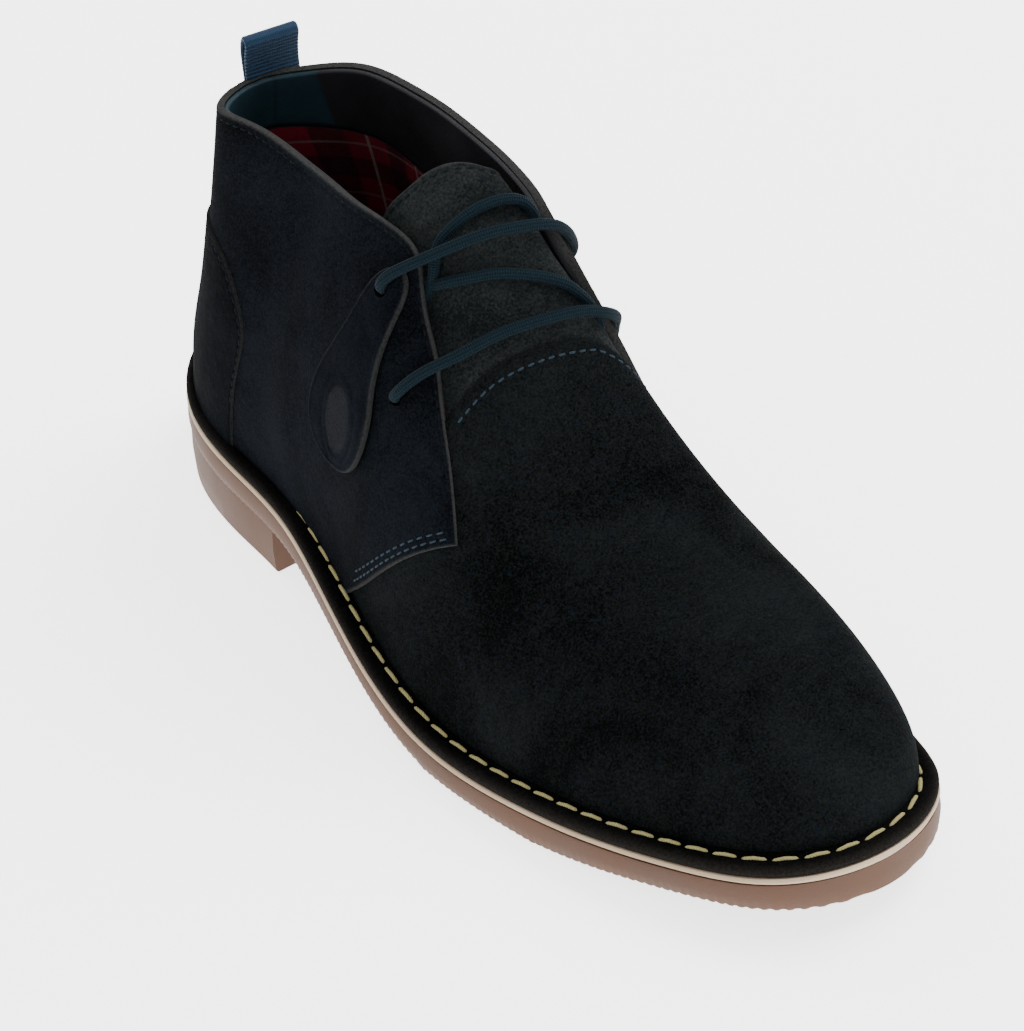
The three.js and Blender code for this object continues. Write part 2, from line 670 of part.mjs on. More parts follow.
const group = new THREE.Group();
group.name = 'chukka_boot';
group.add(
  piece('outsole', outsole, { color: 0x967a69, roughness: 0.85, metalness: 0 }),
  piece('midsole', midsole, { color: 0xd7c8b9, roughness: 0.7, metalness: 0 }),
  piece('welt', welt, { color: 0x1c1e22, roughness: 0.95, metalness: 0 }),
  piece('footbed', footbed, { color: 0x5a1014, roughness: 0.9, metalness: 0 }),
  piece('upper', upper, { color: 0x1b232b, roughness: 0.95, metalness: 0 }),
  piece('tongue', tongue, { color: 0x1d262e, roughness: 0.95, metalness: 0 }),
  piece('fob', fob, { color: 0x232c35, roughness: 0.9, metalness: 0 }),
  piece('pull_loop', loop, { color: 0x193755, roughness: 0.8, metalness: 0 }),
  piece('lace_lower', cord(LACE_LOWER), { color: 0x1e323c, roughness: 0.8, metalness: 0 }),
  piece('lace_upper', cord(LACE_UPPER), { color: 0x1e323c, roughness: 0.8, metalness: 0 }),
  piece('lace_middle', cord(LACE_CROSS_LOW).add(cord(LACE_CROSS_HIGH)), { color: 0x1e323c, roughness: 0.8, metalness: 0 }),
);

export default group;
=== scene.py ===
"""Looks of a right-foot chukka boot in dark suede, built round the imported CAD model.

Every sewn or moulded piece is a closed surface worked out with numpy in millimetres, in the frame of
the model: the floor at Z = 0, the toe at -Y, the outer side of the foot at -X. A place on the upper
is a pair (at, turn): `at` runs from 0 at the back of the heel to 1 at the tip of the toe, and `turn`
from 0 at the outer feather edge, over the ridge at 0.5, to 1 at the inner feather edge.
"""

import sys

import logging
import math
from dataclasses import dataclass
from enum import Enum
from functools import partial
from typing import Callable, Optional, Sequence

import bmesh
import bpy
import numpy as np
from mathutils import Matrix, Quaternion, Vector


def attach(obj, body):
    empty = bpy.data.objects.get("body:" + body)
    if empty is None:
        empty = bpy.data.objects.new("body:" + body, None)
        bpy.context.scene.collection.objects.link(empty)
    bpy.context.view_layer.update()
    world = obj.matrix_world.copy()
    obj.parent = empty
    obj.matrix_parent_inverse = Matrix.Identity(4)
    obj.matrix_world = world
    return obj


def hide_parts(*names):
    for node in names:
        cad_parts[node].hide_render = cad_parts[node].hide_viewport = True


Array = np.ndarray
Curve = Callable[[Array], Array]
Colour = tuple[float, float, float]

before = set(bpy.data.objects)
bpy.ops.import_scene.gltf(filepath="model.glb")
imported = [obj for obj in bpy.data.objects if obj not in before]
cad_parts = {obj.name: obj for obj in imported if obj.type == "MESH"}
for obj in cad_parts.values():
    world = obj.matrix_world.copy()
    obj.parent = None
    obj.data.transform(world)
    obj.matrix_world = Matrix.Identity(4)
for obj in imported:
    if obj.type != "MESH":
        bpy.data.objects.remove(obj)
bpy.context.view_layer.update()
LOG = logging.getLogger("chukka_boot")
MM = 0.001
FULL_TURN = 2 * math.pi
STITCH_SLANT = 0.06  # turn of a stitch out of its seam, as a share of its length
STITCH_FLAT = 1.15  # width of a pressed thread over its height


class Side(Enum):
    """The two sides of the foot, with the sign of their direction across the boot."""

    OUTER = -1
    INNER = 1


# ---- Curves and meshes ----


def natural_spline(xs: Sequence[float], ys: Sequence[float]) -> Curve:
    """Natural cubic spline: on each stretch, the line between its ends plus a cubic bow.

    Args:
        xs: Rising places of the knots.
        ys: Values at the knots.

    Returns:
        A function of whole arrays, held constant beyond both ends.
    """
    x, y = np.asarray(xs, float), np.asarray(ys, float)
    n = len(x)
    h = np.diff(x)
    system, load = np.eye(n), np.zeros(n)
    for i in range(1, n - 1):
        system[i, i - 1 : i + 2] = h[i - 1], 2 * (h[i - 1] + h[i]), h[i]
        load[i] = 6 * ((y[i + 1] - y[i]) / h[i] - (y[i] - y[i - 1]) / h[i - 1])
    bend = np.linalg.solve(system, load)

    def value(at: Array) -> Array:
        """Value of the spline at each place."""
        held = np.clip(at, x[0], x[-1])
        k = np.clip(np.searchsorted(x, held) - 1, 0, n - 2)
        b = (held - x[k]) / h[k]
        a = 1 - b
        bow = (a**3 - a) * bend[k] + (b**3 - b) * bend[k + 1]
        return a * y[k] + b * y[k + 1] + bow * h[k] ** 2 / 6

    return value


def swing(at: Array) -> Array:
    """Angle whose cosine falls from 1 at the heel to -1 at the toe, which makes both ends round."""
    return np.arccos(1 - 2 * np.clip(at, 0, 1))


def column(at: Sequence[float], values: Sequence[float]) -> Curve:
    """A table's column as a smooth function of `at`, with round ends.

    Args:
        at: Places of the rows.
        values: The column.

    Returns:
        A function of whole arrays.
    """
    curve = natural_spline(swing(np.asarray(at, float)), values)
    return lambda where: curve(swing(np.asarray(where, float)))


def smooth(low: float, high: float, value: Array) -> Array:
    """Smooth step: 0 below low, 1 above high, and 3t^2 - 2t^3 between."""
    t = np.clip((np.asarray(value, float) - low) / (high - low), 0, 1)
    return t * t * (3 - 2 * t)


def along_line(points: Array, count: int) -> Array:
    """Points at equal steps of length along a broken line.

    Args:
        points: The line's corners, one a row.
        count: How many points to return.

    Returns:
        The points, one a row.
    """
    steps = np.linalg.norm(np.diff(points, axis=0), axis=1)
    length = np.concatenate([[0], np.cumsum(steps)])
    share = np.linspace(0, length[-1], count)
    return np.stack([np.interp(share, length, points[:, k]) for k in range(points.shape[1])], 1)


def through(points: Sequence[Sequence[float]], count: int) -> Array:
    """Smooth line through points: each coordinate is a natural spline of the chord length.

    Args:
        points: Points to pass, one a row.
        count: How many points to return, at equal steps.

    Returns:
        The points, one a row.
    """
    p = np.asarray(points, float)
    chord = np.concatenate([[0], np.cumsum(np.linalg.norm(np.diff(p, axis=0), axis=1))])
    fine = np.linspace(0, chord[-1], 12 * count)
    return along_line(np.stack([natural_spline(chord, p[:, k])(fine) for k in range(p.shape[1])], 1), count)


def unit(vectors: Array) -> Array:
    """Vectors scaled to length one."""
    return vectors / np.maximum(np.linalg.norm(vectors, axis=-1, keepdims=True), 1e-12)


def tangents(points: Array) -> Array:
    """Directions along a line of points, from the differences of its neighbours."""
    return unit(np.gradient(points, axis=0))


def signed_volume(verts: Array, quads: Array) -> float:
    """Volume inside quads, by the divergence theorem over their two triangles each."""
    a, b, c, d = (verts[quads[:, k]] for k in range(4))
    return float((np.cross(a, b) * c).sum() + (np.cross(a, c) * d).sum()) / 6


@dataclass
class Piece:
    """A visible piece: its vertices and quads, and the values carried on its vertices.

    `chart` holds the place on the cloth in millimetres, and `edge` how near a cut edge is. The
    arrays may have any leading axes.
    """

    name: str
    verts: Array
    quads: Array
    chart: Optional[Array] = None
    edge: Optional[Array] = None
    sharp: float = 48.0

    def make(self, finish: "Finish", slot: str, replaces: Sequence[str] = ()) -> bpy.types.Object:
        """Puts the piece into the scene, closed and facing outwards, and dresses it.

        Args:
            finish: The piece's finish.
            slot: The record's material slot; not used.
            replaces: CAD nodes that the piece stands for.

        Returns:
            The new object.
        """
        verts = self.verts.reshape(-1, 3)
        quads = self.quads if signed_volume(verts, self.quads) > 0 else self.quads[:, ::-1]
        mesh = bpy.data.meshes.new(self.name)
        mesh.vertices.add(len(verts))
        mesh.vertices.foreach_set("co", (verts * MM).astype(np.float32).ravel())
        mesh.loops.add(quads.size)
        mesh.loops.foreach_set("vertex_index", quads.astype(np.int32).ravel())
        mesh.polygons.add(len(quads))
        mesh.polygons.foreach_set("loop_start", np.arange(0, quads.size, 4, dtype=np.int32))
        mesh.update(calc_edges=True)
        layers = (("chart", "FLOAT_VECTOR", "vector", self.chart), ("edge", "FLOAT", "value", self.edge))
        for label, kind, field, values in layers:
            if values is not None:
                layer = mesh.attributes.new(label, kind, "POINT")
                layer.data.foreach_set(field, values.astype(np.float32).ravel())
        shell = bmesh.new()
        shell.from_mesh(mesh)
        bmesh.ops.remove_doubles(shell, verts=shell.verts, dist=2e-6)
        shell.to_mesh(mesh)
        shell.free()
        mesh.polygons.foreach_set("use_smooth", np.ones(len(mesh.polygons), bool))
        mesh.set_sharp_from_angle(angle=math.radians(self.sharp))
        thing = bpy.data.objects.new(self.name, mesh)
        bpy.context.scene.collection.objects.link(thing)
        thing.data.materials.append(finish.material())
        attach(thing, "root")
        if replaces:
            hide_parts(*replaces)
        LOG.info("%s: %d vertices", self.name, len(mesh.vertices))
        return thing


def ring_quads(rows: int, count: int) -> Array:
    """Quads of a closed solid through rings, its two ends closed by strips across the ring.

    Args:
        rows: How many rings.
        count: Points in a ring, an even number. Point j faces point j from its end.

    Returns:
        The quads as rows of vertex numbers.
    """
    i, j = np.meshgrid(np.arange(rows - 1), np.arange(count), indexing="ij")
    k = (j + 1) % count
    side = np.stack([i * count + j, i * count + k, (i + 1) * count + k, (i + 1) * count + j], -1)
    m = np.arange(count // 2 - 1)
    end = (rows - 1) * count
    near = np.stack([count - 1 - m, count - 2 - m, m + 1, m], -1)
    far = np.stack([end + m, end + m + 1, end + count - 2 - m, end + count - 1 - m], -1)
    return np.concatenate([side.reshape(-1, 4), near, far])


def torus_quads(rows: int, count: int) -> Array:
    """Quads of a ring solid that closes on itself both ways."""
    i, j = np.meshgrid(np.arange(rows), np.arange(count), indexing="ij")
    n, k = (i + 1) % rows, (j + 1) % count
    return np.stack([i * count + j, i * count + k, n * count + k, n * count + j], -1).reshape(-1, 4)


def tube(name: str, path: Array, ups: Array, radius: float, sides: int = 18) -> Piece:
    """Round cord along a path, with domed ends.

    Args:
        name: Name of the piece.
        path: Points of the middle line, one a row.
        ups: A direction across the cord at each point, which fixes its twist.
        radius: Radius of the cord.
        sides: Points round the cord.

    Returns:
        The piece, whose chart is the length and the way round, in millimetres.
    """
    forward = tangents(path)
    across = unit(np.cross(forward, ups))
    up = np.cross(across, forward)
    dome = np.array([0.0, 0.5, 0.8, 0.95])
    scale = np.concatenate([dome, np.ones(len(path)), dome[::-1]])
    step = radius * np.sqrt(1 - dome**2)
    head = path[0] - forward[0] * step[:, None]
    tail = path[-1] + forward[-1] * step[::-1, None]
    line = np.concatenate([head, path, tail])
    pad = np.pad(np.arange(len(path)), len(dome), mode="edge")
    angle = np.linspace(0, FULL_TURN, sides, endpoint=False)
    cos, sin = np.cos(angle)[None, :, None], np.sin(angle)[None, :, None]
    ring = cos * across[pad][:, None] + sin * up[pad][:, None]
    verts = line[:, None] + radius * scale[:, None, None] * ring
    length = np.concatenate([[0], np.cumsum(np.linalg.norm(np.diff(line, axis=0), axis=1))])
    chart = np.stack(np.broadcast_arrays(length[:, None], radius * angle[None], 0.0), -1)
    return Piece(name, verts, ring_quads(len(line), sides), chart)


def stitches(
    name: str, path: Array, ups: Array, pitch: float, length: float, radius: float, lift: float
) -> Piece:
    """Row of stitches: short threads laid end to end along a line, their ends sunk in the leather.

    A stitch's height above the leather falls with the square of the way from its middle.

    Args:
        name: Name of the piece.
        path: The seam's line, one point a row.
        ups: The leather's outward direction at each point.
        pitch: Step from one stitch to the next.
        length: Length of a stitch.
        radius: Radius of the thread.
        lift: Height of a stitch's middle above the leather.

    Returns:
        The piece.
    """
    steps = np.linalg.norm(np.diff(path, axis=0), axis=1)
    total = steps.sum()
    count = max(int(total / pitch), 1)
    both = along_line(np.concatenate([path, ups], 1), 8 * count + 1)
    middle, normal = both[4::8, :3], unit(both[4::8, 3:])
    forward = unit(both[8::8, :3] - both[:-8:8, :3])
    across = np.cross(normal, forward)
    share = np.array([-1.0, -0.94, -0.75, 0.0, 0.75, 0.94, 1.0])
    thick = np.array([0.0, 0.6, 0.9, 1.0, 0.9, 0.6, 0.0])
    sides = 8
    angle = np.linspace(0, FULL_TURN, sides, endpoint=False)
    x = share[:, None] * length / 2 + 0 * angle
    y = lift - (lift + radius) * share[:, None] ** 4 + radius * thick[:, None] * np.sin(angle)
    z = radius * STITCH_FLAT * thick[:, None] * np.cos(angle)
    slant = STITCH_SLANT * x
    verts = (
        middle[:, None, None]
        + x[None, :, :, None] * forward[:, None, None]
        + y[None, :, :, None] * normal[:, None, None]
        + (z + slant)[None, :, :, None] * across[:, None, None]
    )
    each = ring_quads(len(share), sides)
    quads = (each[None] + (np.arange(len(middle)) * len(share) * sides)[:, None, None]).reshape(-1, 4)
    chart = np.broadcast_to(np.stack(np.broadcast_arrays(x, z, 0.0), -1), verts.shape)
    return Piece(name, verts, quads, chart)


# ---- Sole outline and last ----


@dataclass
class SoleForm:
    """Outline and heights of the sole, the same as the CAD model's."""

    length: float = 302.0
    rows: tuple = (0, 0.035, 0.1, 0.19, 0.28, 0.38, 0.48, 0.58, 0.68, 0.78, 0.87, 0.95, 1)
    outer: tuple = (0, 20.0, 31.9, 37.0, 39.2, 46.6, 54.2, 57.8, 56.1, 50.6, 42.1, 30.6, 0)
    inner: tuple = (0, 22.6, 35.4, 39.5, 37.0, 31.6, 39.1, 47.1, 48.7, 45.6, 38.3, 29.4, 0)
    drift: tuple = (-9.9, 4.7)
    seat_rows: tuple = (0, 0.25, 0.42, 0.58, 0.72, 0.86, 1)
    seat: tuple = (25.0, 23.9, 18.5, 10.2, 11.0, 14.8, 21.1)
    tread_rows: tuple = (0, 0.27, 0.42, 0.54, 0.6, 0.72, 0.8, 0.9, 1)
    tread: tuple = (13.7, 13.7, 9.6, 2.4, 0.0, 0.0, 2.4, 6.1, 9.5)
    flat: tuple = (0.58, 0.73)

    def __post_init__(self) -> None:
        """Works out the curves, and the middle of the two sides, which stands over the origin."""
        self.half = {
            Side.OUTER: column(self.rows, self.outer),
            Side.INNER: column(self.rows, self.inner),
        }
        self.seat_height = natural_spline(self.seat_rows, self.seat)
        self.tread_curve = natural_spline(self.tread_rows, self.tread)
        every = np.linspace(0, 1, 401)
        self.centre = 0.0
        self.centre = (self.edge(every, Side.OUTER).min() + self.edge(every, Side.INNER).max()) / 2

    def axis(self, at: Array) -> Array:
        """Sideways place of the sole's axis, a parabola in `at`."""
        return self.drift[0] * at + self.drift[1] * at**2 - self.centre

    def edge(self, at: Array, side: Side) -> Array:
        """Sideways place of the sole's edge: the axis plus or minus the half width."""
        return self.axis(at) + side.value * np.maximum(self.half[side](at), 0)

    def tread_height(self, at: Array) -> Array:
        """Height of the underside in front of the heel, flat on the floor under the ball."""
        flat = (at > self.flat[0]) & (at < self.flat[1])
        return np.where(flat, 0, np.maximum(self.tread_curve(at), 0))

    def outline(self, count: int) -> tuple[Array, Array, Array]:
        """Closed outline, from the heel along the outer side to the toe and back inside.

        Args:
            count: Points in the outline.

        Returns:
            The points (x, y), the outward directions, and `at` for each point.
        """
        fine = np.linspace(0, FULL_TURN, 8001)
        at = (1 - np.cos(fine)) / 2
        x = np.where(fine <= np.pi, self.edge(at, Side.OUTER), self.edge(at, Side.INNER))
        line = along_line(np.stack([x, self.length / 2 - at * self.length], 1), count + 1)[:-1]
        forward = unit(np.roll(line, -1, 0) - np.roll(line, 1, 0))
        outward = np.stack([-forward[:, 1], forward[:, 0]], 1)
        outward *= np.sign((outward * (line - line.mean(0))).sum())
        return line, outward, 0.5 - line[:, 1] / self.length


SOLE = SoleForm()


@dataclass
class Last:
    """The form inside the upper. Each section is a superellipse on the feather edge, whose ridge
    lies to the inner side and whose flanks lean in towards the ankle. The back curve moves the
    back of the heel forward as it rises."""

    back: float = 4.2
    tip: float = 295.7
    welt_top: float = 3.3
    lean_height: float = 100.0
    ridge_fade: float = 12.0
    back_reach: float = 0.35
    rows: tuple = (0, 0.05, 0.13, 0.23, 0.34, 0.45, 0.56, 0.67, 0.78, 0.88, 0.955, 1)
    outer: tuple = (0, 21.0, 30.5, 32.5, 37.0, 45.4, 50.8, 50.1, 44.8, 35.9, 25.2, 0)
    inner: tuple = (0, 22.0, 34.6, 33.6, 29.4, 31.3, 36.4, 42.5, 41.0, 35.2, 26.6, 0)
    high: tuple = (190, 170, 150, 148, 134, 109, 79, 51, 39, 30.5, 18.5, 0)
    ridge: tuple = (0, 0, 3, 8, 12, 14, 17, 19, 18, 14, 7, 0)
    outer_full: tuple = (2.5, 2.5, 2.2, 2.1, 2.2, 2.2, 2.0, 1.9, 1.9, 1.95, 2.05, 2.15)
    inner_full: tuple = (2.5, 2.35, 2.25, 2.35, 2.6, 2.6, 2.45, 2.5, 2.6, 2.6, 2.5, 2.4)
    outer_lean: tuple = (0.2, 0.18, 0.32, 0.32, 0.28, 0.16, 0.03, 0, 0, 0, 0, 0)
    inner_lean: tuple = (0.3, 0.28, 0.16, 0.06, -0.18, -0.17, -0.01, 0, 0, 0, 0, 0)
    back_heights: tuple = (28, 45, 65, 90, 120, 150)
    back_forward: tuple = (0, 3.8, 12.0, 19.5, 25.0, 27.5)
    # Creases: side, start (along, height), end (along, height), width, height of the ridge.
    creases: tuple = (
        (Side.OUTER, (101, 121), (84, 52), 8.0, 0.7),
        (Side.OUTER, (84, 118), (70, 58), 7.0, -0.9),
        (Side.OUTER, (62, 116), (52, 74), 9.0, 0.5),
        (Side.OUTER, (132, 80), (116, 40), 7.0, -0.6),
        (Side.OUTER, (150, 62), (128, 40), 6.0, 0.4),
        (Side.OUTER, (186, 52), (172, 30), 6.0, -0.5),
        (Side.OUTER, (205, 44), (196, 24), 6.0, -0.4),
        (Side.INNER, (110, 118), (92, 60), 8.0, 0.6),
        (Side.INNER, (92, 118), (78, 62), 7.0, -0.8),
        (Side.INNER, (150, 62), (136, 36), 7.0, -0.6),
        (Side.INNER, (196, 46), (188, 24), 6.0, -0.5),
        (Side.INNER, (214, 42), (208, 22), 6.0, -0.4),
    )

    def __post_init__(self) -> None:
        """Works out the curves of the tables, and the length that `at` runs over."""
        make = partial(column, self.rows)
        self.span = self.tip - self.back
        self.half = {Side.OUTER: make(self.outer), Side.INNER: make(self.inner)}
        self.full = {Side.OUTER: make(self.outer_full), Side.INNER: make(self.inner_full)}
        self.lean = {Side.OUTER: make(self.outer_lean), Side.INNER: make(self.inner_lean)}
        self.high_curve, self.ridge_curve = make(self.high), make(self.ridge)
        self.back_curve = natural_spline(self.back_heights, self.back_forward)

    def pick(self, curves: dict, at: Array, turn: Array) -> Array:
        """Values of the outer or the inner curve, by the side of each place."""
        return np.where(turn < 0.5, curves[Side.OUTER](at), curves[Side.INNER](at))

    def feather(self, along: Array) -> Array:
        """Height of the feather edge, on top of the welt."""
        return SOLE.seat_height(along / SOLE.length) + self.welt_top

    def point(self, at: Array, turn: Array) -> Array:
        """Points on the last.

        Rise is high times sin(pi turn) to the power 2/fullness, and reach is the half width times
        cos(pi turn) to the same power, less the lean, which grows with the square of the rise.

        Args:
            at: Places along the boot.
            turn: Places round the section.

        Returns:
            The points, in the last axis.
        """
        at, turn = np.broadcast_arrays(np.asarray(at, float), np.asarray(turn, float))
        power = 2 / self.pick(self.full, at, turn)
        width = np.maximum(self.pick(self.half, at, turn), 0)
        sign = np.where(turn < 0.5, -1.0, 1.0)
        rise = np.maximum(self.high_curve(at), 0) * np.abs(np.sin(np.pi * turn)) ** power
        ridge = self.ridge_curve(at) * np.minimum(1, width / self.ridge_fade)
        reach = (sign * width - ridge) * np.abs(np.cos(np.pi * turn)) ** power
        taper = 1 - self.pick(self.lean, at, turn) * (rise / self.lean_height) ** 2
        flat = self.back + at * self.span
        z = self.feather(flat) + rise
        along = flat + self.back_curve(z) * np.maximum(0, 1 - at / self.back_reach) ** 2
        x = SOLE.axis(flat / SOLE.length) + ridge + reach * taper
        return np.stack([x, SOLE.length / 2 - along, z], -1)

    def normal(self, at: Array, turn: Array) -> Array:
        """Outward directions, from differences along and round. At the two ends they turn into the
        middle plane with the root of the distance, as the surface itself does.

        Args:
            at: Places along the boot.
            turn: Places round the section.

        Returns:
            The directions, in the last axis.
        """
        at, turn = np.broadcast_arrays(np.asarray(at, float), np.asarray(turn, float))
        nudge = 0.001
        held = np.clip(at, 3 * nudge, 1 - 3 * nudge)
        forward = self.point(held + nudge, turn) - self.point(held - nudge, turn)
        above, below = np.clip(turn + nudge, 0, 1), np.clip(turn - nudge, 0, 1)
        over = self.point(held, above) - self.point(held, below)
        out = unit(np.cross(forward, over))
        heel = np.sqrt(np.clip(at / (3 * nudge), 0, 1))
        toe = np.sqrt(np.clip((1 - at) / (3 * nudge), 0, 1))
        return unit(np.stack([out[..., 0] * heel * toe, out[..., 1], out[..., 2] * toe], -1))

    def relief(self, points: Array, turn: Array) -> Array:
        """Height of the creases: each is a ridge or trough along a short line in side view, whose
        height falls off as the bell curve of the distance from it, over its width."""
        place = np.stack([SOLE.length / 2 - points[..., 1], points[..., 2]], -1)
        total = np.zeros(points.shape[:-1])
        for side, start, end, width, height in self.creases:
            a, b = np.array(start, float), np.array(end, float)
            share = np.clip(((place - a) @ (b - a)) / ((b - a) @ (b - a)), 0, 1)
            distance = np.linalg.norm(place - a - share[..., None] * (b - a), axis=-1)
            mine = smooth(-0.06, 0.06, (turn - 0.5) * side.value)
            total += height * np.exp(-((distance / width) ** 2)) * mine
        return total

    def skin(self, at: Array, turn: Array, proud: Array) -> Array:
        """Points at a height above the creased last.

        Args:
            at: Places along the boot.
            turn: Places round the section.
            proud: Heights above the last.

        Returns:
            The points, in the last axis.
        """
        points = self.point(at, turn)
        turns = np.broadcast_to(turn, points.shape[:-1])
        height = np.asarray(proud, float) + self.relief(points, turns)
        return points + self.normal(at, turn) * height[..., None]

    def turn_at(self, at: Array, height: Array, side: Side) -> Array:
        """Turn at which a section reaches a height, on one side: the section's formula solved."""
        flat = self.back + at * self.span
        share = np.clip((height - self.feather(flat)) / np.maximum(self.high_curve(at), 1e-6), 0, 1)
        turn = np.arcsin(share ** (self.full[side](at) / 2)) / np.pi
        return turn if side is Side.OUTER else 1 - turn

    def from_side(self, along: Array, height: Array, side: Side) -> tuple[Array, Array]:
        """Places whose points are seen at (along, height) in side view.

        `at` is found by repeating the back curve's shift until it settles.

        Args:
            along: Distances from the back of the sole.
            height: Heights above the floor.
            side: Side of the foot.

        Returns:
            `at` and `turn`.
        """
        along, height = np.asarray(along, float), np.asarray(height, float)
        at = np.clip((along - self.back) / self.span, 0, 1)
        for _ in range(80):
            shift = self.back_curve(height) * np.maximum(0, 1 - at / self.back_reach) ** 2
            at = 0.5 * at + 0.5 * np.clip((along - self.back - shift) / self.span, 0, 1)
        return at, self.turn_at(at, height, side)


LAST = Last()


# ---- Finishes ----


class Nodes:
    """Short way to write a node tree."""

    def __init__(self, name: str) -> None:
        """Starts a material with an empty tree and a Principled shader."""
        self.item = bpy.data.materials.new(name)
        self.item.use_nodes = True
        self.tree = self.item.node_tree
        self.tree.nodes.clear()
        self.shader = self.add("ShaderNodeBsdfPrincipled")
        out = self.add("ShaderNodeOutputMaterial")
        self.tree.links.new(self.shader.outputs["BSDF"], out.inputs["Surface"])
        self.space = self.add("ShaderNodeTexCoord").outputs["Object"]

    def put(self, socket: bpy.types.NodeSocket, value: object) -> None:
        """Joins another node's socket to an input, or sets the input's plain value."""
        if isinstance(value, bpy.types.NodeSocket):
            self.tree.links.new(value, socket)
        elif value is not None:
            socket.default_value = value

    def add(self, kind: str, inputs: Optional[dict] = None, **settings: object) -> bpy.types.Node:
        """Adds a node.

        Args:
            kind: Blender's name of the node type.
            inputs: Values or sockets for its inputs, by name or number.
            settings: Properties of the node.

        Returns:
            The node.
        """
        node = self.tree.nodes.new(kind)
        for key, value in settings.items():
            setattr(node, key, value)
        for key, value in (inputs or {}).items():
            self.put(node.inputs[key], value)
        return node

    def noise(self, scale: float, detail: float = 3.0, distortion: float = 0.0) -> object:
        """Noise of a scale per metre, as a value about 0.5."""
        inputs = {"Vector": self.space, "Scale": scale, "Detail": detail, "Distortion": distortion}
        return self.add("ShaderNodeTexNoise", inputs).outputs[0]

    def math(self, operation: str, a: object, b: object = 0.0, c: object = 0.0) -> object:
        """One arithmetic step."""
        return self.add("ShaderNodeMath", {0: a, 1: b, 2: c}, operation=operation).outputs[0]

    def wave(self, value: object, pitch: float) -> object:
        """Sine wave of a value, with a pitch in the value's own units."""
        return self.math("SINE", self.math("MULTIPLY", value, FULL_TURN / pitch))

    def remap(
        self, value: object, low: float, high: float, to_low: float = 0.0, to_high: float = 1.0
    ) -> object:
        """Value stretched from one range to another and held there."""
        inputs = {"Value": value, 1: low, 2: high, 3: to_low, 4: to_high}
        return self.add("ShaderNodeMapRange", inputs).outputs[0]

    def mix(self, share: object, first: object, second: object) -> object:
        """Blend of two colours, plain values or sockets."""
        first, second = ((*value, 1.0) if isinstance(value, tuple) else value for value in (first, second))
        inputs = {0: share, 6: first, 7: second}
        return self.add("ShaderNodeMix", inputs, data_type="RGBA").outputs[2]

    def scaled(self, vector: object, factor: object) -> object:
        """A colour or vector times a number, plain or a socket."""
        inputs = {0: vector, "Scale": factor}
        return self.add("ShaderNodeVectorMath", inputs, operation="SCALE").outputs[0]

    def edge(self) -> object:
        """How near a cut or worn edge is, from the piece's vertices."""
        return self.add("ShaderNodeAttribute", attribute_name="edge").outputs["Fac"]

    def chart(self) -> Sequence[object]:
        """The three values of the piece's chart, in millimetres."""
        place = self.add("ShaderNodeAttribute", attribute_name="chart").outputs["Vector"]
        return self.add("ShaderNodeSeparateXYZ", {0: place}).outputs

    def bump(self, height: object, distance: float, strength: float = 1.0, onto: object = None) -> object:
        """Bumped normal from a height, over an earlier one if given."""
        inputs = {"Height": height, "Distance": distance, "Strength": strength, "Normal": onto}
        return self.add("ShaderNodeBump", inputs).outputs[0]

    def surface(
        self, colour: object, roughness: object, normal: object = None, **plain: object
    ) -> bpy.types.Material:
        """Joins colour, roughness and normal to the shader and sets its plain sockets.

        Args:
            colour: Colour socket.
            roughness: Roughness, a value or a socket.
            normal: Bumped normal.
            plain: Plain values, by socket name with underscores for spaces.

        Returns:
            The finished material.
        """
        for key, value in {"Base_Color": colour, "Roughness": roughness, "Normal": normal, **plain}.items():
            self.put(self.shader.inputs[key.replace("_", " ")], value)
        return self.item


@dataclass(frozen=True)
class Finish:
    """A finish, made once and used by every piece that has it."""

    name: str

    def material(self) -> bpy.types.Material:
        """The finish's material, built the first time it is asked for."""
        return bpy.data.materials.get(self.name) or self.build(Nodes(self.name))

    def build(self, nodes: Nodes) -> bpy.types.Material:
        """Builds the node tree; each kind of finish has its own."""
        raise NotImplementedError


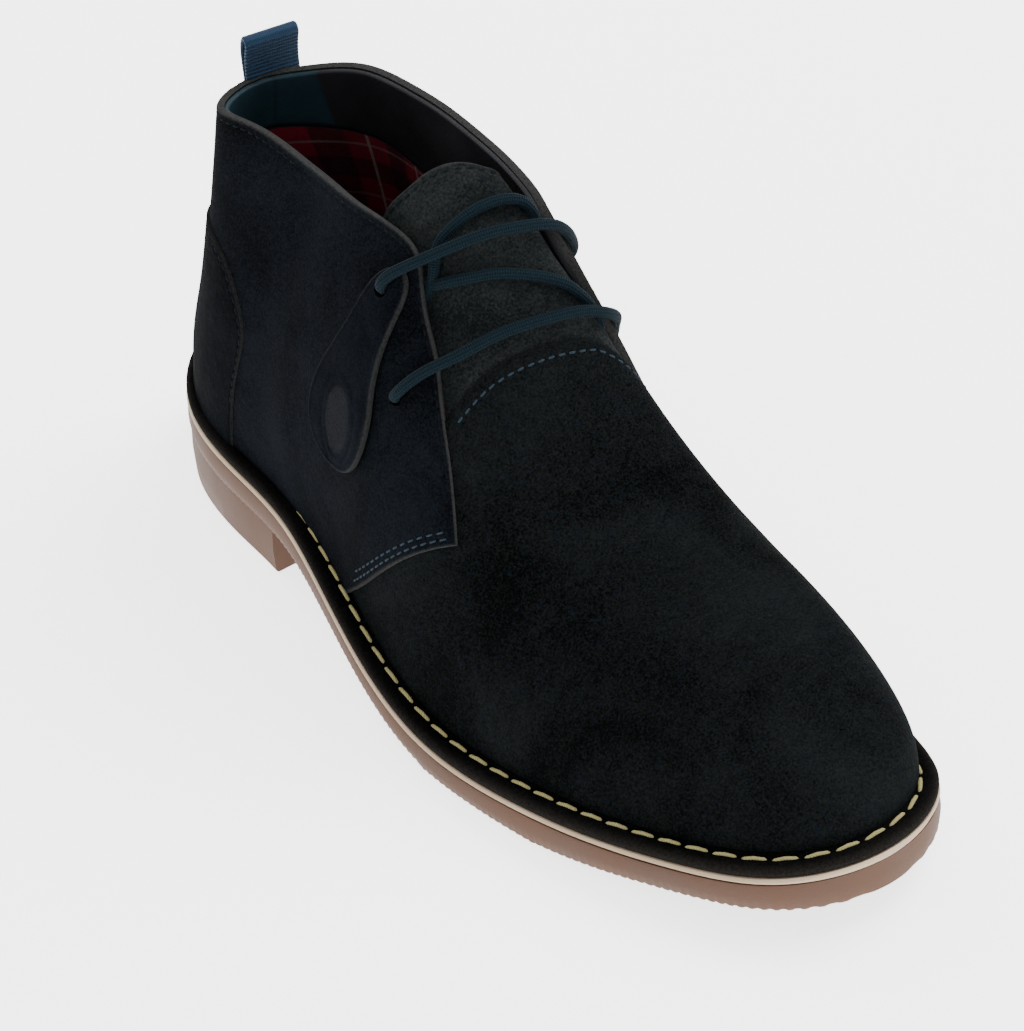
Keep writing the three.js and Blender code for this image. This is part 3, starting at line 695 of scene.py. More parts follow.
@dataclass(frozen=True)
class Suede(Finish):
    """Napped suede: brushed patches over a dark ground, pale specks, and a paler cut edge."""

    deep: Colour = (0.010, 0.014, 0.018)
    pale: Colour = (0.026, 0.034, 0.041)
    cut: Colour = (0.030, 0.0305, 0.0295)
    blue: Colour = (0.0030, 0.0062, 0.0100)
    patches: float = 24.0
    strokes: float = 340.0
    speckles: float = 620.0
    flecks: float = 1500.0
    fibres: float = 3600.0
    nap: float = 0.00026

    def build(self, nodes: Nodes) -> bpy.types.Material:
        """Colour from five sizes of noise, and bump from the three finer ones."""
        patch = nodes.remap(nodes.noise(self.patches, 5.0, 0.6), 0.32, 0.70)
        brush = nodes.remap(nodes.noise(self.strokes, 6.0), 0.32, 0.70)
        fleck = nodes.noise(self.flecks, 3.0)
        fibre = nodes.noise(self.fibres, 2.0)
        tone = nodes.math("MULTIPLY_ADD", patch, 0.72, nodes.math("MULTIPLY", brush, 0.24))
        tone = nodes.math("MULTIPLY_ADD", fleck, 1.9, nodes.math("SUBTRACT", tone, 1.02))
        ground = nodes.mix(tone, self.deep, self.pale)
        specks = nodes.remap(nodes.noise(self.speckles, 5.0), 0.58, 0.72, 0.0, 0.7)
        ground = nodes.mix(specks, ground, self.blue)
        dust = nodes.remap(fibre, 0.58, 0.76, 0.0, 0.34)
        ground = nodes.mix(dust, ground, self.cut)
        edge = nodes.math("MULTIPLY", nodes.edge(), nodes.remap(fleck, 0.3, 0.6, 0.55, 1.0))
        colour = nodes.mix(edge, ground, self.cut)
        rough = nodes.remap(brush, 0.0, 1.0, 0.82, 0.98)
        normal = nodes.bump(fleck, self.nap, 0.9)
        normal = nodes.bump(brush, self.nap * 1.2, 0.45, normal)
        normal = nodes.bump(fibre, self.nap * 0.5, 0.8, normal)
        return nodes.surface(
            colour,
            rough,
            normal,
            Specular_IOR_Level=0.008,
            Sheen_Weight=0.005,
            Sheen_Roughness=0.5,
            Sheen_Tint=(0.55, 0.62, 0.68, 1.0),
        )


@dataclass(frozen=True)
class Rubber(Finish):
    """Moulded rubber: a faintly mottled colour with fine pits."""

    colour: Colour = (0.066, 0.031, 0.017)
    dust: Colour = (0.100, 0.051, 0.030)
    pits: float = 0.00012
    rough: float = 0.72

    def build(self, nodes: Nodes) -> bpy.types.Material:
        """Mottling from coarse noise and pits from fine noise."""
        mottle = nodes.remap(nodes.noise(45.0, 4.0), 0.3, 0.7)
        grit = nodes.noise(1400.0, 3.0)
        edge = nodes.math("MULTIPLY", nodes.edge(), 0.5)
        tone = nodes.math("ADD", nodes.math("MULTIPLY", mottle, 0.5), edge)
        colour = nodes.mix(tone, self.colour, self.dust)
        pit_colour = tuple(0.55 * value for value in self.colour)
        colour = nodes.mix(nodes.remap(grit, 0.62, 0.75, 0.0, 0.25), colour, pit_colour)
        rough = nodes.remap(mottle, 0.0, 1.0, self.rough - 0.08, self.rough + 0.08)
        return nodes.surface(colour, rough, nodes.bump(grit, self.pits, 0.8), Specular_IOR_Level=0.3)


@dataclass(frozen=True)
class Braid(Finish):
    """Round braided cord: two sets of strands that cross at a slant, with painted shade in the grooves
    between them.
    """

    # deep is painted shade in the grooves between the strands; pale is the strands' crowns.
    deep: Colour = (0.0010, 0.0034, 0.0052)
    pale: Colour = (0.0072, 0.0150, 0.0205)
    strand: float = 1.35
    slope: float = 0.72

    def build(self, nodes: Nodes) -> bpy.types.Material:
        """Height is the product of two sine waves, one along each slant of the chart. The colour follows the
        same height, so the grooves between strands take the deep colour as painted shade.
        """
        along, around, _ = nodes.chart()
        slant = nodes.math("MULTIPLY", around, self.slope)
        right = nodes.wave(nodes.math("ADD", along, slant), self.strand)
        left = nodes.wave(nodes.math("SUBTRACT", along, slant), self.strand)
        weave = nodes.remap(nodes.math("MULTIPLY", right, left), -0.9, 0.9)
        fuzz = nodes.noise(2200.0, 3.0)
        tone = nodes.math("MULTIPLY_ADD", weave, 0.55, nodes.math("MULTIPLY", fuzz, 0.5))
        # Painted shade: where the weave is low, in the grooves between strands, the colour goes to deep.
        colour = nodes.mix(tone, self.deep, self.pale)
        normal = nodes.bump(fuzz, 0.00012, 0.6, nodes.bump(weave, 0.00022, 1.0))
        return nodes.surface(colour, 0.82, normal, Specular_IOR_Level=0.03, Sheen_Weight=0.01)


@dataclass(frozen=True)
class Webbing(Finish):
    """Ribbed webbing: ribs across its length, with fine threads along, and painted shade in the troughs
    between ribs.
    """

    # deep is painted shade in the troughs between the ribs; pale is the rib crests.
    deep: Colour = (0.0016, 0.0090, 0.0230)
    pale: Colour = (0.0085, 0.0330, 0.0720)
    rib: float = 1.25
    thread: float = 0.55

    def build(self, nodes: Nodes) -> bpy.types.Material:
        """Ribs are a sine wave along the chart, and threads a finer one across it. The colour follows the
        ribs, deep in the troughs as painted shade.
        """
        along, across, _ = nodes.chart()
        rib, thread = nodes.wave(along, self.rib), nodes.wave(across, self.thread)
        fuzz = nodes.math("MULTIPLY", nodes.noise(1800.0, 3.0), 0.45)
        tone = nodes.math("MULTIPLY_ADD", nodes.remap(rib, -1.0, 1.0), 0.6, fuzz)
        # Painted shade: the troughs between ribs take the deep colour, the crests the pale one.
        colour = nodes.mix(tone, self.deep, self.pale)
        normal = nodes.bump(thread, 0.00006, 0.6, nodes.bump(rib, 0.00014, 1.0))
        return nodes.surface(colour, 0.7, normal, Specular_IOR_Level=0.15, Sheen_Weight=0.04)


@dataclass(frozen=True)
class Thread(Finish):
    """Sewing thread: plied strands that slant across each stitch."""

    colour: Colour = (0.39, 0.35, 0.165)
    shade: Colour = (0.15, 0.13, 0.055)
    ply: float = 0.8

    def build(self, nodes: Nodes) -> bpy.types.Material:
        """Plies are a sine wave along the chart's slant."""
        along, across, _ = nodes.chart()
        slant = nodes.math("MULTIPLY_ADD", across, 1.4, along)
        wave = nodes.remap(nodes.wave(slant, self.ply), -1.0, 1.0)
        fuzz = nodes.noise(2600.0, 2.0)
        tone = nodes.math("MULTIPLY_ADD", wave, 0.45, nodes.math("MULTIPLY", fuzz, 0.6))
        colour = nodes.mix(tone, self.shade, self.colour)
        return nodes.surface(colour, 0.75, nodes.bump(wave, 0.0001, 0.7), Specular_IOR_Level=0.05)


@dataclass(frozen=True)
class Check:
    """Checked cloth: red with dark bars both ways and a thin pale line between two bars."""

    red: Colour = (0.120, 0.0050, 0.0150)
    dark: Colour = (0.0070, 0.0045, 0.0075)
    line: Colour = (0.17, 0.145, 0.130)
    pitch: float = 19.0
    yarn: float = 0.9

    def colour(self, nodes: Nodes, across: object, up: object) -> object:
        """Colour of the cloth.

        A bar is where the place in its pitch lies under two fifths. Where bars cross it is darkest.

        Args:
            nodes: The tree to build in.
            across: Place across the cloth, in millimetres.
            up: Place up the cloth, in millimetres.

        Returns:
            The colour socket.
        """
        colour, lines = self.red, []
        for value, offset in ((across, 193.0), (up, 198.0)):
            place = nodes.math("DIVIDE", nodes.math("ADD", value, offset), self.pitch)
            place = nodes.math("FRACT", place)
            colour = nodes.mix(nodes.remap(place, 0.36, 0.41, 0.62, 0.0), colour, self.dark)
            near = nodes.math("ABSOLUTE", nodes.math("SUBTRACT", place, 0.68))
            lines.append(nodes.remap(near, 0.018, 0.030, 0.75, 0.0))
        colour = nodes.mix(lines[0], colour, self.line)
        return nodes.mix(nodes.math("MULTIPLY", lines[1], 0.5), colour, self.line)

    def weave(self, nodes: Nodes, across: object, up: object) -> object:
        """Height of a plain weave: the product of a wave across and a wave up."""
        return nodes.math("MULTIPLY", nodes.wave(across, self.yarn), nodes.wave(up, self.yarn))


CHECK = Check()


@dataclass(frozen=True)
class Lining(Finish):
    """Inside of the upper: a leather collar band, teal at the back of the heel, over checked cloth."""

    band: Colour = (0.0120, 0.0125, 0.0150)
    heel: Colour = (0.0095, 0.0245, 0.0330)
    piping: Colour = (0.0080, 0.0150, 0.0220)
    seam: Colour = (0.008, 0.016, 0.022)
    band_back: float = 107.0
    band_slope: float = 0.13
    heel_start: float = 30.0
    heel_reach: float = 41.0
    seam_across: float = 5.0

    def build(self, nodes: Nodes) -> bpy.types.Material:
        """The chart gives the distance from the heel and the height; the bands are cut from them."""
        along, up, across = nodes.chart()
        forward = nodes.math("SUBTRACT", along, self.heel_start)
        line = nodes.math("MULTIPLY_ADD", forward, -self.band_slope, self.band_back)
        over = nodes.math("SUBTRACT", up, line)
        is_band = nodes.remap(over, -0.2, 0.2)
        is_heel = nodes.remap(along, self.heel_reach - 0.3, self.heel_reach + 0.3, 1.0, 0.0)
        is_piping = nodes.remap(nodes.math("ABSOLUTE", over), 0.8, 1.2, 0.9, 0.0)
        grain = nodes.noise(900.0, 3.0)
        mottle = nodes.remap(nodes.noise(70.0, 4.0), 0.3, 0.7, 0.6, 1.15)
        leather = nodes.mix(is_heel, self.band, self.heel)
        off_seam = nodes.math("ABSOLUTE", nodes.math("SUBTRACT", across, self.seam_across))
        leather = nodes.mix(nodes.remap(off_seam, 0.35, 0.7, 0.6, 0.0), leather, self.seam)
        colour = nodes.mix(is_band, CHECK.colour(nodes, along, up), leather)
        colour = nodes.mix(is_piping, colour, self.piping)
        normal = nodes.bump(nodes.remap(over, -0.6, 0.4), 0.0006, 1.0)
        normal = nodes.bump(CHECK.weave(nodes, along, up), 0.00006, 0.5, normal)
        normal = nodes.bump(grain, 0.00012, 0.6, normal)
        rough = nodes.remap(is_band, 0.0, 1.0, 0.9, 0.55)
        return nodes.surface(nodes.scaled(colour, mottle), rough, normal, Specular_IOR_Level=0.15)


@dataclass(frozen=True)
class Cloth(Finish):
    """Checked cloth of the footbed, a little worn under the heel."""

    worn: Colour = (0.05, 0.012, 0.012)

    def build(self, nodes: Nodes) -> bpy.types.Material:
        """The check runs on the piece's own place, in millimetres, and dust fades it."""
        place = nodes.scaled(nodes.space, 1 / MM)
        across, along, _ = nodes.add("ShaderNodeSeparateXYZ", {0: place}).outputs
        fade = nodes.remap(nodes.noise(40.0, 4.0), 0.35, 0.75, 0.0, 0.35)
        colour = nodes.mix(fade, CHECK.colour(nodes, across, along), self.worn)
        weave = nodes.bump(CHECK.weave(nodes, across, along), 0.00008, 0.7)
        return nodes.surface(colour, 0.9, weave, Specular_IOR_Level=0.2)


VAMP_SUEDE = Suede("suede_vamp", deep=(0.0007, 0.0010, 0.0010), pale=(0.0080, 0.0094, 0.0098))
QUARTER_SUEDE = Suede("suede_quarter", deep=(0.0005, 0.0007, 0.0011), pale=(0.0060, 0.0074, 0.0100))
INNER_SUEDE = Suede("suede_inner", deep=(0.0005, 0.0007, 0.0008), pale=(0.0034, 0.0042, 0.0046))
TONGUE_SUEDE = Suede("suede_tongue", deep=(0.0040, 0.0052, 0.0053), pale=(0.0200, 0.0225, 0.0228))
FOB_SUEDE = Suede(
    "suede_fob", deep=(0.0010, 0.0015, 0.0024), pale=(0.0050, 0.0061, 0.0090), patches=60.0, nap=0.00016
)
WELT_SUEDE = Suede(
    "suede_welt",
    deep=(0.0003, 0.0003, 0.0003),
    pale=(0.0036, 0.0034, 0.0033),
    cut=(0.0125, 0.0110, 0.0098),
    nap=0.0005,
)
# Counter suede: a darker copy of the quarter's suede, about half as bright, painted shade for the back of the
# heel.
SHADED_COUNTER_SUEDE = Suede("suede_counter", deep=(0.0002, 0.0004, 0.0006), pale=(0.0028, 0.0036, 0.0048))
OUTSOLE_RUBBER = Rubber("rubber_outsole")
MIDSOLE_RUBBER = Rubber("rubber_midsole", colour=(0.34, 0.25, 0.165), dust=(0.44, 0.34, 0.24), rough=0.6)
LACE_CORD = Braid("lace_braid")
LOOP_WEBBING = Webbing("webbing_blue")
WELT_THREAD = Thread("welt_thread")
SEAM_THREAD = Thread("seam_thread", colour=(0.027, 0.043, 0.059), shade=(0.010, 0.017, 0.025), ply=0.5)
EDGE_THREAD = Thread("edge_thread", colour=(0.0050, 0.0066, 0.0082), shade=(0.0018, 0.0024, 0.0031), ply=0.5)
UPPER_LINING = Lining("upper_lining")
FOOTBED_CLOTH = Cloth("footbed_check")


# ---- Sheets of leather and cloth over the last ----

# Distances of the fine steps from a sheet's edges, whole where the sheet is at least this wide.
NEAR_EDGE = np.array([0.0, 0.25, 0.6, 1.1, 1.7, 2.3, 2.9, 3.5, 4.2, 5.2])
FULL_WIDTH = 26.0
# About how many millimetres one unit of swing and of turn are, and one of turn on the tongue.
LINE_SCALE = np.array([100.0, 180.0])
TURN_LENGTH = 185.0
# Height of a seam's stitches above the leather, and the depth that a punch reaches.
SEAM_LIFT = 0.12
PUNCH_DEPTH = 9.0


@dataclass
class Chart:
    """A region of the last between two lines, joined across by straight lines in (swing, turn).

    Both lines have the same number of points. `count` is the number of even steps across.
    """

    first: Array
    second: Array
    count: int = 56

    def __post_init__(self) -> None:
        """Measures every joining line along the last."""
        share = np.linspace(0, 1, 16)
        points = LAST.point(*self.place(share[None, :]))
        self.lengths = np.linalg.norm(np.diff(points, axis=1), axis=2).sum(1)

    def place(self, share: Array) -> tuple[Array, Array]:
        """`at` and `turn` at shares of the way along each joining line."""
        mid = self.first[:, None] + (self.second - self.first)[:, None] * share[..., None]
        return (1 - np.cos(mid[..., 0])) / 2, mid[..., 1]

    def grid(self) -> tuple[Array, Array, Array, Array]:
        """Even steps across, with finer ones at both ends.

        Returns:
            `at`, `turn`, and the distances from the first and from the second line.
        """
        length = np.maximum(self.lengths, 1e-6)[:, None]
        fine = NEAR_EDGE[None] * np.minimum(1, length / FULL_WIDTH)
        rest = length - 2 * fine[:, -1:]
        even = fine[:, -1:] + rest * np.linspace(0, 1, self.count + 1)[None, 1:-1]
        away = np.concatenate([fine, even, length - fine[:, ::-1]], 1)
        return (*self.place(away / length), away, length - away)

    def inset(
        self, distance: float, second: bool, start: float = 0.0, stop: float = 1.0
    ) -> tuple[Array, Array]:
        """Line inside the region at a distance from one of its two lines.

        Args:
            distance: Distance from the line.
            second: True for the second line.
            start: Share of the line at which to begin.
            stop: Share at which to end.

        Returns:
            `at` and `turn` along it.
        """
        n = len(self.first)
        rows = slice(int(start * (n - 1)), int(stop * (n - 1)) + 1)
        share = np.clip(distance / np.maximum(self.lengths, 1e-6), 0, 0.5)
        share = 1 - share if second else share
        at, turn = self.place(share[:, None])
        return at[rows, 0], turn[rows, 0]


def dense(points: Sequence[Sequence[float]], count: int) -> Array:
    """Line in (swing, turn) smoothly through places given as (at, turn)."""
    p = np.asarray(points, float)
    return through(np.stack([swing(p[:, 0]), p[:, 1]], 1) * LINE_SCALE, count) / LINE_SCALE


def line_length(line: Array) -> float:
    """Rough length in millimetres of a line in (swing, turn)."""
    return np.linalg.norm(np.diff(line * LINE_SCALE, axis=0), axis=1).sum()


def joined(*lines: Array, count: int) -> Array:
    """Lines in (swing, turn) laid end to end and stepped evenly."""
    return along_line(np.concatenate(lines) * LINE_SCALE, count) / LINE_SCALE


def broken_line(rows: tuple, where: Array) -> Array:
    """Values of a broken line through rows of (place, value)."""
    return np.interp(where, *zip(*rows))


def side_line(points: Sequence[Sequence[float]], side: Side, count: int) -> Array:
    """Line in (swing, turn) smoothly through places given as (along, height) in side view."""
    line = through(points, count)
    at, turn = LAST.from_side(line[:, 0], line[:, 1], side)
    return np.stack([swing(at), turn], 1)


def cut_edge(away: Array, width: float) -> Array:
    """Share of a cut edge's colour: one at the edge, falling to nothing over a width."""
    return np.clip(1 - away / width, 0, 1)


def rounded(away: Array, radius: float) -> Array:
    """How far a rounded edge falls below its top: a quarter circle over the radius."""
    return radius * (1 - np.sqrt(1 - cut_edge(away, radius) ** 2))


def seam_dip(away: Array, at: float, depth: float = 0.28, width: float = 0.9) -> Array:
    """Trough that a row of stitches pulls into the leather: a bell curve about its line."""
    return depth * np.exp(-(((away - at) / width) ** 2))


def sheet(name: str, at: Array, turn: Array, top: Array, low: Array, edge: Optional[Array] = None) -> Piece:
    """Closed sheet over the last: an upper face, a lower face, and the edges between them.

    Args:
        name: Name of the piece.
        at: Places along the boot, one row for each joining line.
        turn: Places round it.
        top: Heights of the upper face above the last.
        low: Heights of the lower face.
        edge: How near a cut edge each place is, from 0 to 1.

    Returns:
        The piece, whose chart holds the distance from the heel, the height and the place across.
    """
    shape = at.shape
    upper = LAST.skin(at, turn, np.broadcast_to(top, shape))
    lower = LAST.skin(at, turn, np.broadcast_to(low, shape))[:, ::-1]
    verts = np.concatenate([upper, lower], 1)
    x, y, z = (verts[..., k] for k in range(3))
    chart = np.stack([SOLE.length / 2 - y, z, x - SOLE.axis(0.0)], -1)
    edge = np.zeros(shape) if edge is None else edge
    both = np.concatenate([edge, edge[:, ::-1]], 1)
    return Piece(name, verts, ring_quads(shape[0], 2 * shape[1]), chart, both)


def seam(
    name: str,
    place: tuple[Array, Array],
    proud: float,
    thread: Thread,
    pitch: float = 3.1,
    length: float = 2.35,
    radius: float = 0.26,
) -> None:
    """Row of stitches on the upper.

    Args:
        name: Name of the piece.
        place: `at` and `turn` along the seam.
        proud: Height of the leather above the last.
        thread: Finish of the thread.
        pitch: Step from one stitch to the next.
        length: Length of a stitch.
        radius: Radius of the thread.
    """
    at, turn = place
    path = LAST.skin(at, turn, np.full(at.shape, proud))
    row = stitches(name, path, LAST.normal(at, turn), pitch, length, radius, SEAM_LIFT)
    row.make(thread, "upper_suede")


def punch(thing: bpy.types.Object, eyelet: tuple[float, float], radius: float) -> None:
    """Cuts a round hole through a piece, square to the last.

    Args:
        thing: The piece.
        eyelet: `at` and `turn` of the hole.
        radius: Radius of the hole.
    """
    at, turn = (np.array([value]) for value in eyelet)
    centre, direction = LAST.skin(at, turn, np.zeros(1))[0], LAST.normal(at, turn)[0]
    mesh = bpy.data.meshes.new("punch")
    shell = bmesh.new()
    upright = Vector(direction).to_track_quat("Z", "Y").to_matrix().to_4x4()
    place = Matrix.Translation(Vector(centre * MM)) @ upright
    size = {"radius1": radius * MM, "radius2": radius * MM, "depth": PUNCH_DEPTH * MM}
    bmesh.ops.create_cone(shell, cap_ends=True, segments=28, matrix=place, **size)
    shell.to_mesh(mesh)
    shell.free()
    tool = bpy.data.objects.new("punch", mesh)
    bpy.context.scene.collection.objects.link(tool)
    cut = thing.modifiers.new("punch", "BOOLEAN")
    cut.operation, cut.object, cut.solver = "DIFFERENCE", tool, "EXACT"
    with bpy.context.temp_override(object=thing, active_object=thing, selected_objects=[thing]):
        bpy.ops.object.modifier_apply(modifier=cut.name)
    bpy.data.objects.remove(tool)
    bpy.data.meshes.remove(mesh)


# ---- Sole ----


@dataclass
class Sole:
    """Outsole with its heel and teeth, cream midsole and stitched welt."""

    midsole_thick: float = 2.2
    welt_thick: float = 3.0
    gap: float = 0.3
    heel_length: float = 79.0
    heel_overlap: float = 1.5
    tooth_pitch: float = 2.5
    tooth_depth: float = 0.45
    stitch_inset: float = 4.8
    stitch_pitch: float = 8.2
    stitch_length: float = 7.3
    stitch_radius: float = 0.52
    stitch_lift: float = 0.35
    stitched_from: float = 0.125

    def plate(
        self, name: str, low: Curve, top: Curve, teeth: float, bulge: float, span: tuple = (0.0, 1.0)
    ) -> Piece:
        """Solid plate over the sole's outline, in sections of equal length.

        Each section runs down one side, across underneath in even steps, and up the other. The teeth
        are a rounded square wave along the boot that lifts the underside between them. The ring is
        turned so that it starts in the middle underneath, where the ends' strips run across.

        Args:
            name: Name of the piece.
            low: Height of the underside by `at`.
            top: Height of the top by `at`.
            teeth: Depth of the teeth.
            bulge: How far the sides stand out at their middle.
            span: Part of the outline that the plate covers.

        Returns:
            The piece.
        """
        round_ends = (1 - np.cos(np.linspace(0, np.pi, 160))) / 2
        even = np.arange(0.01, 0.99, 0.6 / SOLE.length)
        at = np.unique(np.concatenate([round_ends, even, [span[1] - 1e-4, span[1]]]))
        at = at[(at >= span[0]) & (at <= span[1])]
        along = at * SOLE.length
        left, right = SOLE.edge(at, Side.OUTER), SOLE.edge(at, Side.INNER)
        width = right - left
        wave = np.sin(FULL_TURN * along / self.tooth_pitch)
        lift = teeth * (0.5 + 0.5 * np.tanh(2.6 * wave))
        bottom, above = low(at) + lift, top(at)
        bevel = np.minimum(0.8, width / 8)
        height = above - bottom
        y = SOLE.length / 2 - along
        # Rise above the underside and inset from the edge, from the top of a side down.
        corner = np.minimum(bevel, height / 3)
        profile = ((height, 0.25), (0.93 * height, 0.0), (0.5 * height, -bulge), (corner, 0.05), (0.0, bevel))
        sides = []
        for sign, edge in ((1, left), (-1, right)):
            xs = [edge + sign * np.minimum(inset, width / 6) for _, inset in profile]
            sides.append([np.stack([x, y, bottom + rise], -1) for x, (rise, _) in zip(xs, profile)])
        shares = np.linspace(0, 1, 15)[1:-1]
        under = [np.stack([left + bevel + (width - 2 * bevel) * share, y, bottom], -1) for share in shares]
        cover = [np.stack([left + width * share, y, above], -1) for share in np.linspace(1, 0, 15)[1:-1]]
        ring = sides[0] + under + sides[1][::-1] + cover
        verts = np.roll(np.stack(ring, 1), -(len(profile) + len(under) // 2 + 1), axis=1)
        wear = smooth(1.5, 0.0, verts[..., 2] - bottom[:, None])
        return Piece(name, verts, ring_quads(len(at), len(ring)), None, wear, 40.0)

    def band(self, name: str, profile: Array, points: int, edge: Array) -> Piece:
        """Closed band round the sole: a closed profile of (inset, height) carried round the outline.

        Args:
            name: Name of the piece.
            profile: Rows of inset from the outline and height above the top of the midsole.
            points: Steps round the outline.
            edge: How worn each row of the profile is.

        Returns:
            The piece.
        """
        line, outward, _ = SOLE.outline(points)
        inset, height = profile[:, 0], profile[:, 1]
        plan = line[:, None] - outward[:, None] * inset[None, :, None]
        seat = SOLE.seat_height(0.5 - plan[..., 1] / SOLE.length)
        verts = np.concatenate([plan, (seat + height[None])[..., None]], -1)
        wear = np.broadcast_to(edge[None], verts.shape[:2])
        return Piece(name, verts, torus_quads(points, len(profile)), None, wear, 60.0)

    def midsole_low(self, at: Array) -> Array:
        """Height of the midsole's underside."""
        return SOLE.seat_height(at) - self.midsole_thick

    def outsole_top(self, at: Array) -> Array:
        """Height of the outsole's top, a thin glue line under the midsole."""
        return self.midsole_low(at) - self.gap / 2

    def heel_top(self, at: Array) -> Array:
        """Height of the heel block's top, a little inside the outsole."""
        return SOLE.tread_height(at) + self.heel_overlap

    def build(self) -> None:
        """Builds and dresses the sole's pieces."""
        fore = self.plate("outsole_unit", SOLE.tread_height, self.outsole_top, self.tooth_depth, 0.5)
        fore.make(OUTSOLE_RUBBER, "outsole_rubber", ["outsole"])
        span = (0.0, self.heel_length / SOLE.length)
        heel = self.plate("heel_block", np.zeros_like, self.heel_top, 0.0, 0.3, span)
        heel.make(OUTSOLE_RUBBER, "outsole_rubber")
        midsole = self.plate("midsole_layer", self.midsole_low, SOLE.seat_height, 0.0, 0.35)
        midsole.make(MIDSOLE_RUBBER, "midsole_cream", ["midsole"])
        t = self.gap + self.welt_thick
        profile = [
            (9.0, 0.1), (1.0, 0.1), (0.3, 0.35), (0.0, 1.1), (-0.05, 1.9), (0.25, 2.6), (0.9, t - 0.25),
            (1.8, t - 0.05), (2.8, t), (4.0, t - 0.15), (4.8, t - 0.35), (5.6, t - 0.1), (6.4, t + 0.35),
            (7.4, t + 1.2), (9.0, t + 1.3),
        ]
        wear = np.array([0, 0, 0.5, 0.9, 1, 0.9, 0.6, 0.25, 0.1, 0, 0, 0, 0, 0, 0])
        self.band("welt_flange", np.array(profile), 1300, wear).make(WELT_SUEDE, "welt_black", ["welt"])
        self.stitch_row().make(WELT_THREAD, "welt_black")

    def stitch_row(self) -> Piece:
        """Welt stitches, from the outer side of the heel round the toe to the inner side."""
        steps = 4000
        line, outward, at = SOLE.outline(steps)
        kept = at > self.stitched_from
        plan = line[kept] - outward[kept] * self.stitch_inset
        height = SOLE.seat_height(0.5 - plan[:, 1] / SOLE.length) + self.gap + self.welt_thick - 0.3
        path = along_line(np.concatenate([plan, height[:, None]], 1), steps // 2)
        ups = np.broadcast_to(np.array([0.0, 0.0, 1.0]), path.shape)
        sizes = self.stitch_pitch, self.stitch_length, self.stitch_radius
        return stitches("welt_stitches", path, ups, *sizes, self.stitch_lift)


# ---- Upper ----


@dataclass
class Quarter:
    """One side of the upper: the quarter panel, its lining and its rows of stitches."""

    side: Side
    collar: tuple
    throat: tuple
    lower: tuple
    eyelets: tuple
    finish: Suede
    thick: float = 1.3
    low: float = -0.9
    lining_low: float = -2.4
    edge_round: float = 0.55
    hole: float = 2.3
    rows: int = 230

    def __post_init__(self) -> None:
        """Lays out the panel between its feather and lower edge and its collar and throat."""
        foot = 0.0 if self.side is Side.OUTER else 1.0
        heel = np.stack([np.linspace(0, swing(self.lower[-1][0]), 60), np.full(60, foot)], 1)
        edge = dense(self.lower[::-1], 60)
        collar = side_line(self.collar, self.side, 90)
        throat = side_line(self.throat, self.side, 60)
        collar[0, 0] = 0.0
        lines = joined(heel, edge[1:], count=self.rows), joined(collar, throat[1:], count=self.rows)
        self.chart = Chart(*lines)
        self.heel_share = line_length(heel) / (line_length(heel) + line_length(edge))

    def name(self, part: str) -> str:
        """Name of a piece of this side."""
        return f"{part}_{self.side.name.lower()}"

    def panel(self) -> Piece:
        """The quarter: rounded cut edges, pulled in along its stitches, thin over the vamp."""
        at, turn, below, above = self.chart.grid()
        rows = np.linspace(0, 1, len(at))[:, None]
        lower_edge = smooth(self.heel_share - 0.02, self.heel_share + 0.02, rows)
        over_vamp = lower_edge * smooth(9.0, 4.0, below)
        free_below = np.where(lower_edge > 0.5, below, 99.0)
        away = np.minimum(above, free_below)
        top = self.thick - rounded(away, self.edge_round)
        top = top - seam_dip(above, 2.8) - lower_edge * (seam_dip(below, 2.4) + seam_dip(below, 4.6))
        seam_in = (1 - smooth(0.0, 2.4, at * LAST.span)) * 0.5
        low = self.low + (0.08 - self.low) * over_vamp
        return sheet(self.name("quarter"), at, turn, top - seam_in, low, cut_edge(away, 0.9))

    def lining(self) -> Piece:
        """The lining, just below the collar's cut edge."""
        at, turn, below, above = self.chart.grid()
        rows = np.linspace(0, 1, len(at))[:, None]
        front = smooth(self.heel_share - 0.05, self.heel_share + 0.06, rows)
        share = below / np.maximum(self.chart.lengths, 1e-6)[:, None]
        start = front * 0.30
        at, turn = self.chart.place(start + (0.995 - start) * share)
        top = self.low - 0.04 - rounded(above, 0.5) * 0.8
        return sheet(self.name("lining"), at, turn, top, self.lining_low + rounded(above, 0.8))

    def build(self) -> None:
        """Builds and dresses the pieces of this side."""
        stands_for = ["upper"] if self.side is Side.OUTER else []
        panel = self.panel().make(self.finish, "upper_suede", stands_for)
        lining = self.lining().make(UPPER_LINING, "footbed_cloth")
        for eyelet in self.eyelets:
            punch(panel, eyelet, self.hole)
            punch(lining, eyelet, self.hole)
        rows = {
            "collar_stitches": (2.8, True, 0.03, 0.555, EDGE_THREAD),
            "throat_stitches": (2.3, True, 0.60, 0.96, EDGE_THREAD),
            "lower_stitches": (2.4, False, self.heel_share + 0.03, 0.985, SEAM_THREAD),
            "lower_stitches_second": (4.6, False, self.heel_share + 0.04, 0.975, SEAM_THREAD),
        }
        for part, (inset, second, start, stop, thread) in rows.items():
            place = self.chart.inset(inset, second, start, stop)
            seam(self.name(part), place, self.thick - 0.30, thread)


